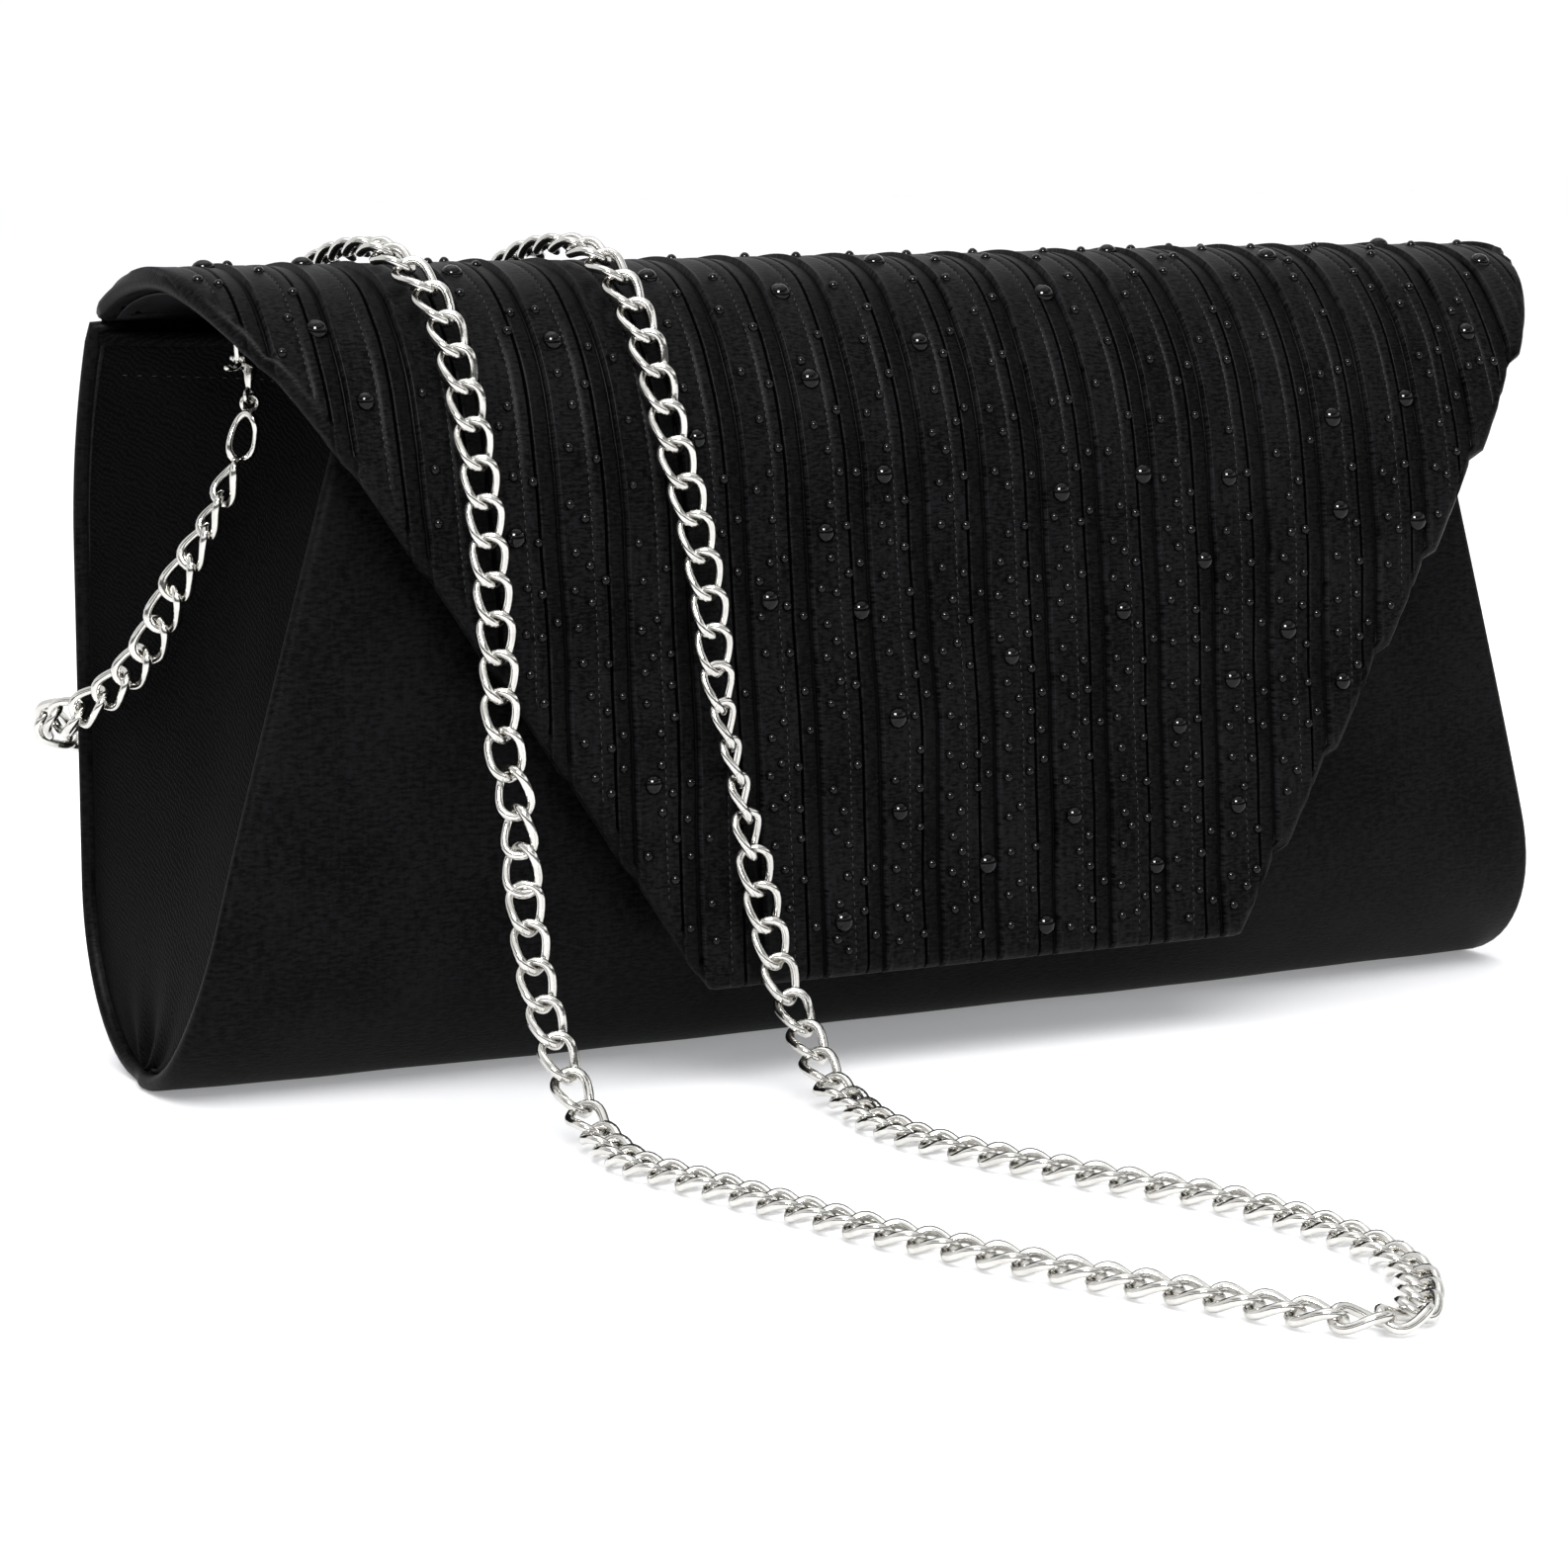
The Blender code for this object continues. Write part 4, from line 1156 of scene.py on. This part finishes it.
def bar(name, line, sides):
    return sweep(name, [(x, 0, z) for x, z, a, b in line], [(a, b) for x, z, a, b in line], "fitting", sides)


def make_hardware(word, side):
    upright = side_frame(side)
    tilted = upright @ Matrix.Rotation(CLASP_TILT, 4, "Y")
    ring = wire_loop(f"{word}_ring_wire", (-RING_RADIUS, 0, 0), RING_RADIUS, "z", 0.0008, upright)
    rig.replaces(ring, f"{word}_ring")
    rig.ride(ring, f"{word}_ring")

    pieces = [bar(f"{word}_claw_bar", CLAW_LINE, 16)]
    for way in (-1, 1):
        cheek = [(-0.0014, way * 0.00080, -0.0066), (0.0006, way * 0.00092, -0.0060)]
        cheek.append((0.0026, way * 0.00092, -0.0054))
        pieces.append(sweep(f"{word}_cheek_{way + 1}", cheek, CHEEK_SIZES, "fitting", 12))
    pieces.append(wire_loop(f"{word}_eye", (0, 0, EYE_HEIGHT), 0.00115, "y", 0.00040, Matrix()))
    claw = join(f"{word}_claw", pieces)
    claw.data.shade_smooth()
    claw.matrix_world = tilted
    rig.replaces(claw, f"{word}_clasp_body")
    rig.ride(claw, f"{word}_clasp")

    lever = bar(f"{word}_lever", LEVER_LINE, 12)
    lever.matrix_world = tilted
    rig.replaces(lever, f"{word}_clasp_trigger")
    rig.ride(lever, f"{word}_trigger")

    hung = tilted @ Matrix.Translation((0, 0, EYE_HEIGHT - JUMP_RADIUS)) @ Matrix.Rotation(0.9, 4, "Z")
    jump = wire_loop(f"{word}_jump_wire", (0, 0, 0), JUMP_RADIUS, "x", 0.00045, hung)
    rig.replaces(jump, f"{word}_jump_ring")
    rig.ride(jump, f"{word}_clasp")
    for made in (ring, claw, lever, jump):
        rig.slot(made, "silver_fittings")


for word, side in (("left", -1), ("right", 1)):
    make_hardware(word, side)


# ---- the cover


def wall_cells(columns, rows, margin, inset):
    """Cells over the body's section, with a margin at its two ends and an inset along its sides."""

    def at(i, j):
        q = lerp(margin, BODY_REACH - margin, j / rows)
        edge = body_width(k_at(q)) - inset
        return (lerp(-edge, edge, i / columns), q)

    return grid_cells(columns, rows, at)


cover = panel("body_cover", wall_cells(72, 100, BODY_RIM, BODY_RIM), body_place, "satin", BODY_RIM, 0.006)
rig.replaces(cover, "back_cover", "front_cover")
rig.slot(cover, "satin")
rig.blend(cover, "body", "front", start=(0, 0.005, 0), end=(0, -0.010, 0))


def lining_place(p, q, depth):
    k = k_at(q)
    return body_layer(k, p / body_width(k), LINING_DEPTH + depth + wobble(p, q, 0.02, 0.00015, 4.4))


lining = panel(
    "body_lining", wall_cells(40, 60, 0.0035, 0.0022), lining_place, "lining", 0.0002, 0.002, 0.0002
)
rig.replaces(lining, "back_lining", "front_lining")
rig.slot(lining, "lining_cloth")
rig.blend(lining, "body", "front", start=(0, 0.005, 0), end=(0, -0.010, 0))


# ---- the flap


def flap_cells():
    """Cells whose columns follow the pleats, cut along the flap's edge."""
    columns = []
    for number in range(FIRST_PLEAT - 1, LAST_PLEAT + 1):
        columns.extend(pleat_start(number) + place for place in PLEAT_PLACES[:-1])
    rows = 108
    low = FLAP_RIM
    high = FLAP_REACH - FLAP_RIM

    def at(i, j):
        q = lerp(high, low, j / rows)
        edge = flap_half_width(q) - FLAP_RIM + math.copysign(flap_skew(q), columns[i])
        fold = (math.copysign(edge, columns[i]) - PLEAT_PHASE) % PLEAT / PLEAT
        edge += EDGE_STEP * (0.5 - fold) if columns[i] > 0 else -0.0006 * (1 - fold)
        p = columns[i]
        if p > edge - 0.00012:
            p = edge
        if p < -edge + 0.00012:
            p = -edge
        return (p, q)

    return grid_cells(len(columns) - 1, rows, at)


flap = panel("flap_pleats", flap_cells(), flap_place, "pleated", FLAP_RIM, 0.006)
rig.replaces(flap, "flap_cover")
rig.slot(flap, "satin")
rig.ride(flap, "flap")


def flap_lining_at(i, j):
    q = lerp(FLAP_REACH - 0.0030, 0.0035, j / 50)
    edge = flap_half_width(q) - 0.0035
    return (lerp(-edge, edge, i / 40) + flap_skew(q), q)


def flap_lining_place(p, q, depth):
    return flap_point(p, q, FLAP_LINING_DEPTH + depth + wobble(p, q, 0.02, 0.0001, 9.4))


flap_lining_cells = grid_cells(40, 50, flap_lining_at)
flap_lining = panel(
    "flap_inner_lining", flap_lining_cells, flap_lining_place, "lining", 0.0002, 0.002, 0.0002
)
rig.replaces(flap_lining, "flap_lining")
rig.slot(flap_lining, "lining_cloth")
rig.ride(flap_lining, "flap")


# ---- the stones


# Where the chain's two strands lie across the flap, by height
LEFT_STRAND = [(0.06, -0.0885), (0.10, -0.0890), (0.125, -0.0903), (0.137, -0.0935)]
RIGHT_STRAND = [(0.018, -0.0397), (0.05, -0.0460), (0.082, -0.0500), (0.1045, -0.0540), (0.137, -0.0575)]


SMALL_COLUMNS = (0.0019, 0.0041, 0.0067, 0.0091)  # places across a pleat, clear of its grooves
LARGE_COLUMNS = (0.0030, 0.0034, 0.0090)
LARGE_COUNT = 46
LARGE_ROOM = 0.0135  # the least distance between the middles of two large stones
SMALL_ROOM = 0.0027
MIXED_ROOM = 0.0031
STRAND_ROOM = 0.0052


def stone(points, faces, p, q, radius, height, sides, spin):
    """A faceted stone set on the pleats: a girdle, a crown of facets and a small table."""
    base = flap_place(p, q, 0.0)
    ahead = flap_place(p, q - 0.0004, 0.0)
    outward3 = Vector((0, *flap_section(q)[1]))
    along = (ahead - base).normalized()
    outward = (outward3 - along * outward3.dot(along)).normalized()
    side = outward.cross(along)
    base = base - outward * height * 0.12
    levels = [(0.0, 1.0), (0.24, 1.0), (0.60, 0.80), (0.88, 0.50), (1.0, 0.22)]
    start = len(points)
    for level, (rise, share) in enumerate(levels):
        for j in range(sides):
            angle = 2 * math.pi * (j + 0.5 * (level > 1) + 0.5 * (level > 3)) / sides + spin
            flat = side * math.cos(angle) + along * math.sin(angle)
            points.append(base + flat * radius * share + outward * height * rise)
    for level in range(len(levels) - 1):
        for j in range(sides):
            here = start + level * sides
            above = here + sides
            k = (j + 1) % sides
            if level % 2:
                faces.append([above + j, here + k, here + j])
                faces.append([above + j, above + k, here + k])
            else:
                faces.append([above + j, above + k, here + k, here + j])
    faces.append([start + (len(levels) - 1) * sides + j for j in reversed(range(sides))])
    faces.append([start + j for j in range(sides)])


def stone_spots():
    """Seeded places of the stones: lined up on the pleats, close together near the tip."""
    draw = random.Random(11)
    small = []
    large = []

    def free(p, q, room, others):
        return all((p - a) ** 2 + (q - b) ** 2 > room**2 for a, b in others)

    def inside(p, q, edge):
        height = flap_section(q)[0].y
        strands = (look_up(height, LEFT_STRAND), look_up(height, RIGHT_STRAND))
        clear = all(abs(p - strand) > STRAND_ROOM for strand in strands)
        within = abs(p - flap_skew(q)) < flap_half_width(q) - edge - 0.0008
        return clear and within and 0.020 < q < FLAP_REACH - edge

    for _ in range(900):
        q = FLAP_REACH * (1 - abs(draw.random() ** 1.25) * 0.86)
        p = draw.uniform(-HALF_LENGTH, HALF_LENGTH)
        number = math.floor((p - PLEAT_PHASE) / PLEAT)
        p = pleat_start(number) + draw.choice(LARGE_COLUMNS)
        if len(large) < LARGE_COUNT and inside(p, q, 0.005) and free(p, q, LARGE_ROOM, large):
            large.append((p, q))
    for number in range(FIRST_PLEAT, LAST_PLEAT):
        for column, place in enumerate(SMALL_COLUMNS):
            q = FLAP_REACH - 0.004 - draw.random() * 0.006
            while q > 0.018:
                depth = (FLAP_REACH - q) / FLAP_REACH
                p = pleat_start(number) + place + draw.uniform(-0.0005, 0.0005)
                keep = 0.92 if depth < 0.45 else 0.70 if depth < 0.65 else 0.45
                if column == 3:
                    keep *= 0.45
                if inside(p, q, 0.0025) and draw.random() < keep and free(p, q, MIXED_ROOM, large):
                    if free(p, q, SMALL_ROOM, small):
                        small.append((p, q))
                q -= lerp(0.0062, 0.0150, smooth((depth - 0.30) / 0.5)) * draw.uniform(0.8, 1.25)
    return small, large


SMALL_STONES, LARGE_STONES = stone_spots()


def make_stones(name, spots, radius, height, sides, seed):
    draw = random.Random(seed)
    points = []
    faces = []
    for p, q in spots:
        stone(points, faces, p, q, radius * draw.uniform(0.93, 1.07), height, sides, draw.random() * 2)
    made = finish_mesh(name, points, faces, "jet")
    made.data.set_sharp_from_angle(angle=math.radians(42))
    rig.ride(made, "flap")
    return made


make_stones("large_stones", LARGE_STONES, 0.00180, 0.00135, 10, 1)
make_stones("small_stones", SMALL_STONES, 0.00088, 0.00088, 8, 2)


# ---- the gussets


def gusset_point(side, v, q, depth=0.0):
    """A point of an end gusset: v runs from the back wall to the front one, q from the bottom up."""
    middle = (BACK_Y + FRONT_Y) / 2
    reach = (BACK_Y - FRONT_Y) / 2 - FLAT_AT_ENDS - GUSSET_MARGIN
    top = lerp(GUSSET_TOP, GUSSET_FRONT_TOP, smooth((v - 0.55) / 0.45))
    if q < GUSSET_CORNER:
        turn = q / GUSSET_CORNER * math.pi / 2
        z = GUSSET_MARGIN + (CORNER_HEIGHT - GUSSET_MARGIN) * (1 - math.cos(turn))
        spread = FLAT_AT_ENDS + reach * math.sin(turn)
    else:
        z = lerp(CORNER_HEIGHT, top, (q - GUSSET_CORNER) / (1 - GUSSET_CORNER))
        spread = FLAT_AT_ENDS + reach
    lean = BACK_LEAN * (max(0.0, z - LEAN_START) / (BACK_TOP - LEAN_START)) ** 2
    back = middle + spread - lean
    front = middle - spread
    x = lerp(HALF_LENGTH, front_half_width(z), v) - GUSSET_SETBACK
    x -= GUSSET_HOLLOW * math.sin(math.pi * v) * z / GUSSET_TOP
    pucker = GUSSET_PUCKER * math.exp(-((z / 0.012) ** 2)) * math.sin(7 * math.pi * v)
    sag = wobble(v * 0.05, z, 0.022, GUSSET_SAG, 6.0 + side) * math.sin(math.pi * v)
    return Vector((side * (x - depth + pucker * math.sin(math.pi * v) + sag), lerp(back, front, v), z))


def make_gusset(word, side):
    columns = 36
    rows = 70
    points = []
    uvs = []
    for j in range(rows + 1):
        for i in range(columns + 1):
            v = i / columns
            points.append(gusset_point(side, v, j / rows))
            uvs.append((v * 0.050, points[-1].z))
    faces = []
    for j in range(rows):
        for i in range(columns):
            here = j * (columns + 1) + i
            face = [here, here + 1, here + columns + 2, here + columns + 1]
            faces.append(face if side < 0 else face[::-1])
    sheet = finish_mesh(f"{word}_gusset_cloth", points, faces, "gusset", uvs)
    area = sum(p.area for p in sheet.data.polygons)
    thicken(sheet, 0.0008)
    hem_points = []
    for i in range(columns + 1):
        point = gusset_point(side, i / columns, 1.0)
        hem_points.append(point + Vector((-side * 0.0004, 0, -0.0006)))
    sizes = [(0.0011, 0.0012)] * len(hem_points)
    hem = sweep(f"{word}_gusset_hem", hem_points, sizes, "gusset", 10, across=(0, 0, 1), ends=False)
    layer = hem.data.uv_layers.new(name="cloth")
    for corner in hem.data.loops:
        place = hem.data.vertices[corner.vertex_index].co
        layer.data[corner.index].uv = (place.y, place.z)
    for made in (sheet, hem):
        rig.slot(made, "gusset_cloth")
        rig.blend(made, "body", "front", start=BACK_SEAM, end=FRONT_SEAM)
    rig.replaces(sheet, f"{word}_gusset")
    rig.sheet(
        sheet, flat=(0.056, 0.136), held="stretched", rests_on=["body_cover"], area=min(area, 0.0076),
        with_pieces=[hem],
    )


for word, side in (("left", -1), ("right", 1)):
    make_gusset(word, side)


# ---- pocket, hinge and seams


def pocket_at(i, j):
    return (lerp(-0.075, 0.075, i / 20), lerp(0.022, 0.090, j / 12))


def pocket_place(p, q, depth):
    gape = 0.0010 * smooth((0.034 - q) / 0.012) * math.cos(math.pi * p / 0.150)
    return body_layer(k_at(q), 0, POCKET_DEPTH + depth + gape) + Vector((p, 0, 0))


pocket = panel("inner_pocket", grid_cells(20, 12, pocket_at), pocket_place, "lining", 0.0003, 0.004, 0.0002)
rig.replaces(pocket, "slip_pocket")
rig.slot(pocket, "lining_cloth")
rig.ride(pocket, "body")


def hinge_strip():
    """The cloth that joins the flap to the back wall, inside the crease."""
    section = []
    for q in (0.0070, 0.0045, 0.0020):
        point = body_layer(k_at(q), 0, HINGE_DEPTH)
        section.append(Vector((0, point.y, point.z)))
    section.append(Vector((0, 0.0276, 0.1272)))
    for q in (0.0020, 0.0045, 0.0070):
        point = flap_point(0, q, HINGE_DEPTH)
        section.append(Vector((0, point.y, point.z)))
    points = []
    uvs = []
    for j, place in enumerate(section):
        for i in range(41):
            x = lerp(-0.1305, 0.1305, i / 40)
            points.append(place + Vector((x, 0, 0)))
            uvs.append((x, j * 0.0025))
    faces = []
    for j in range(len(section) - 1):
        for i in range(40):
            here = j * 41 + i
            faces.append([here + 1, here, here + 41, here + 42])
    made = finish_mesh("hinge_cloth", points, faces, "satin", uvs)
    thicken(made, 0.0005)
    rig.slot(made, "satin")
    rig.blend(made, "body", "flap", start=(0, 0.0290, 0.1258), end=(0, 0.0270, 0.1290))


hinge_strip()


def stitches(name, places):
    """A row of thread stitches. places gives each one's middle, its way and its outward way."""
    points = []
    faces = []
    for middle, way, outward in places:
        side = way.cross(outward)
        start = len(points)
        for share, lift, thick in ((-0.5, -0.6, 0.4), (-0.3, 0.5, 1.0), (0.3, 0.5, 1.0), (0.5, -0.6, 0.4)):
            centre = middle + way * (share * STITCH_LENGTH) + outward * (STITCH_RADIUS * lift)
            for j in range(5):
                angle = 2 * math.pi * j / 5
                rim = side * math.cos(angle) + outward * math.sin(angle)
                points.append(centre + rim * STITCH_RADIUS * thick)
        faces.extend(tube_faces(start, 4, 5))
        faces.append([start + j for j in reversed(range(5))])
        faces.append([start + 15 + j for j in range(5)])
    return finish_mesh(name, points, faces, "thread")


def pleat_stitches():
    places = []
    for number in range(FIRST_PLEAT, LAST_PLEAT):
        p = pleat_start(number) + STITCH_LINE
        q = 0.014
        while q < FLAP_REACH - 0.002:
            if abs(p - flap_skew(q)) < flap_half_width(q) - 0.0034:
                middle = flap_place(p, q, 0.0)
                way = (flap_place(p, q + 0.0005, 0.0) - middle).normalized()
                places.append((middle, way, Vector((0, *flap_section(q)[1]))))
            q += 0.0013
    return places


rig.ride(stitches("pleat_stitches", pleat_stitches()), "flap")

for word, side in (("left", -1), ("right", 1)):
    places = []
    for i in range(2, 21):
        v = i / 22
        middle = gusset_point(side, v, 0.957) + Vector((side * 0.00005, 0, 0))
        way = (gusset_point(side, v + 0.01, 0.957) - middle).normalized()
        places.append((middle, way, Vector((side, 0, 0))))
    seam = stitches(f"{word}_gusset_stitches", places)
    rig.blend(seam, "body", "front", start=BACK_SEAM, end=FRONT_SEAM)


# ---- CAD pieces that stay

KEPT = {
    "board": ["back_board", "bottom_board", "front_board", "flap_board"],
    "fitting": [
        "snap_socket", "socket_washer", "snap_stud", "stud_washer",
        "left_trigger_pin", "right_trigger_pin", "left_trigger_spring", "right_trigger_spring",
    ],
    "thread": ["left_ring_tab", "right_ring_tab"],
}
for look, nodes in KEPT.items():
    for node in nodes:
        for slot in frame["nodes"][node].material_slots:
            slot.material = LOOKS[look]


# ---- floor and light

floor_mesh = bpy.data.meshes.new("floor")
floor_mesh.from_pydata([(-6, -6, 0), (6, -6, 0), (6, 6, 0), (-6, 6, 0)], [], [(0, 1, 2, 3)])
floor = add_object("floor", floor_mesh)
floor_look = Shader("floor_white")
floor_look.fix(Base_Color=(0.80, 0.80, 0.81, 1), Roughness=0.6, Specular_IOR_Level=0.2)
floor_look.fix(Emission_Color=(0.97, 0.98, 1, 1), Emission_Strength=0.27)
floor_mesh.materials.append(floor_look.material)
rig.stage(floor)

world = bpy.data.worlds.new("studio")
world.use_nodes = True
bpy.context.scene.world = world
bpy.context.scene.view_settings.view_transform = "Standard"


PANEL_TONES = [
    (0.0, 0.3), (0.10, 0.10), (0.26, 0.10), (0.32, 1.3), (0.46, 1.3), (0.52, 0.15), (0.70, 0.25),
    (0.78, 1.1),
]


def studio_walls():
    """White behind the bag; towards the viewer dark and light panels stand one above another."""
    tree = world.node_tree
    coordinates = tree.nodes.new("ShaderNodeTexCoord")
    split = tree.nodes.new("ShaderNodeSeparateXYZ")
    tree.links.new(coordinates.outputs["Generated"], split.inputs[0])
    panels = tree.nodes.new("ShaderNodeValToRGB")
    set_stops(panels.color_ramp, PANEL_TONES)
    tree.links.new(split.outputs["Z"], panels.inputs["Fac"])
    behind = tree.nodes.new("ShaderNodeMapRange")
    behind.inputs["From Min"].default_value = 0.0
    behind.inputs["From Max"].default_value = 0.45
    tree.links.new(split.outputs["Y"], behind.inputs["Value"])
    mix = tree.nodes.new("ShaderNodeMix")
    mix.data_type = "RGBA"
    tree.links.new(behind.outputs["Result"], mix.inputs[0])
    tree.links.new(panels.outputs["Color"], mix.inputs[6])
    mix.inputs[7].default_value = (1.02, 1.02, 1.03, 1)
    tree.links.new(mix.outputs[2], tree.nodes["Background"].inputs["Color"])


studio_walls()


def area_light(name, place, target, size, power):
    data = bpy.data.lights.new(name, "AREA")
    data.shape = "RECTANGLE"
    data.size = size[0]
    data.size_y = size[1]
    data.energy = power
    light = add_object(name, data)
    light.location = place
    light.rotation_euler = (Vector(target) - Vector(place)).to_track_quat("-Z", "Y").to_euler()
    return light


key = area_light("key", (-0.35, -0.85, 1.6), (-0.05, -0.2, 0), (1.8, 1.4), 32)
key.visible_glossy = False
# Seen only in shiny things: it gives the stones and the metal their small highlights
sparkle = area_light("sparkle", (-0.65, -1.0, 1.15), (0, 0, 0.08), (0.46, 0.46), 58)
sparkle.visible_diffuse = False
area_light("fill", (1.2, -0.8, 0.9), (0, 0, 0.05), (0.8, 0.8), 1)
area_light("top", (0.0, 0.3, 1.5), (0, 0, 0.05), (1.2, 0.8), 4)

with open("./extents.json", "w") as out:
    json.dump({"cad": [list(v) for v in CAD_BOX], "visual": [list(v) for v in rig.bounds()]}, out)
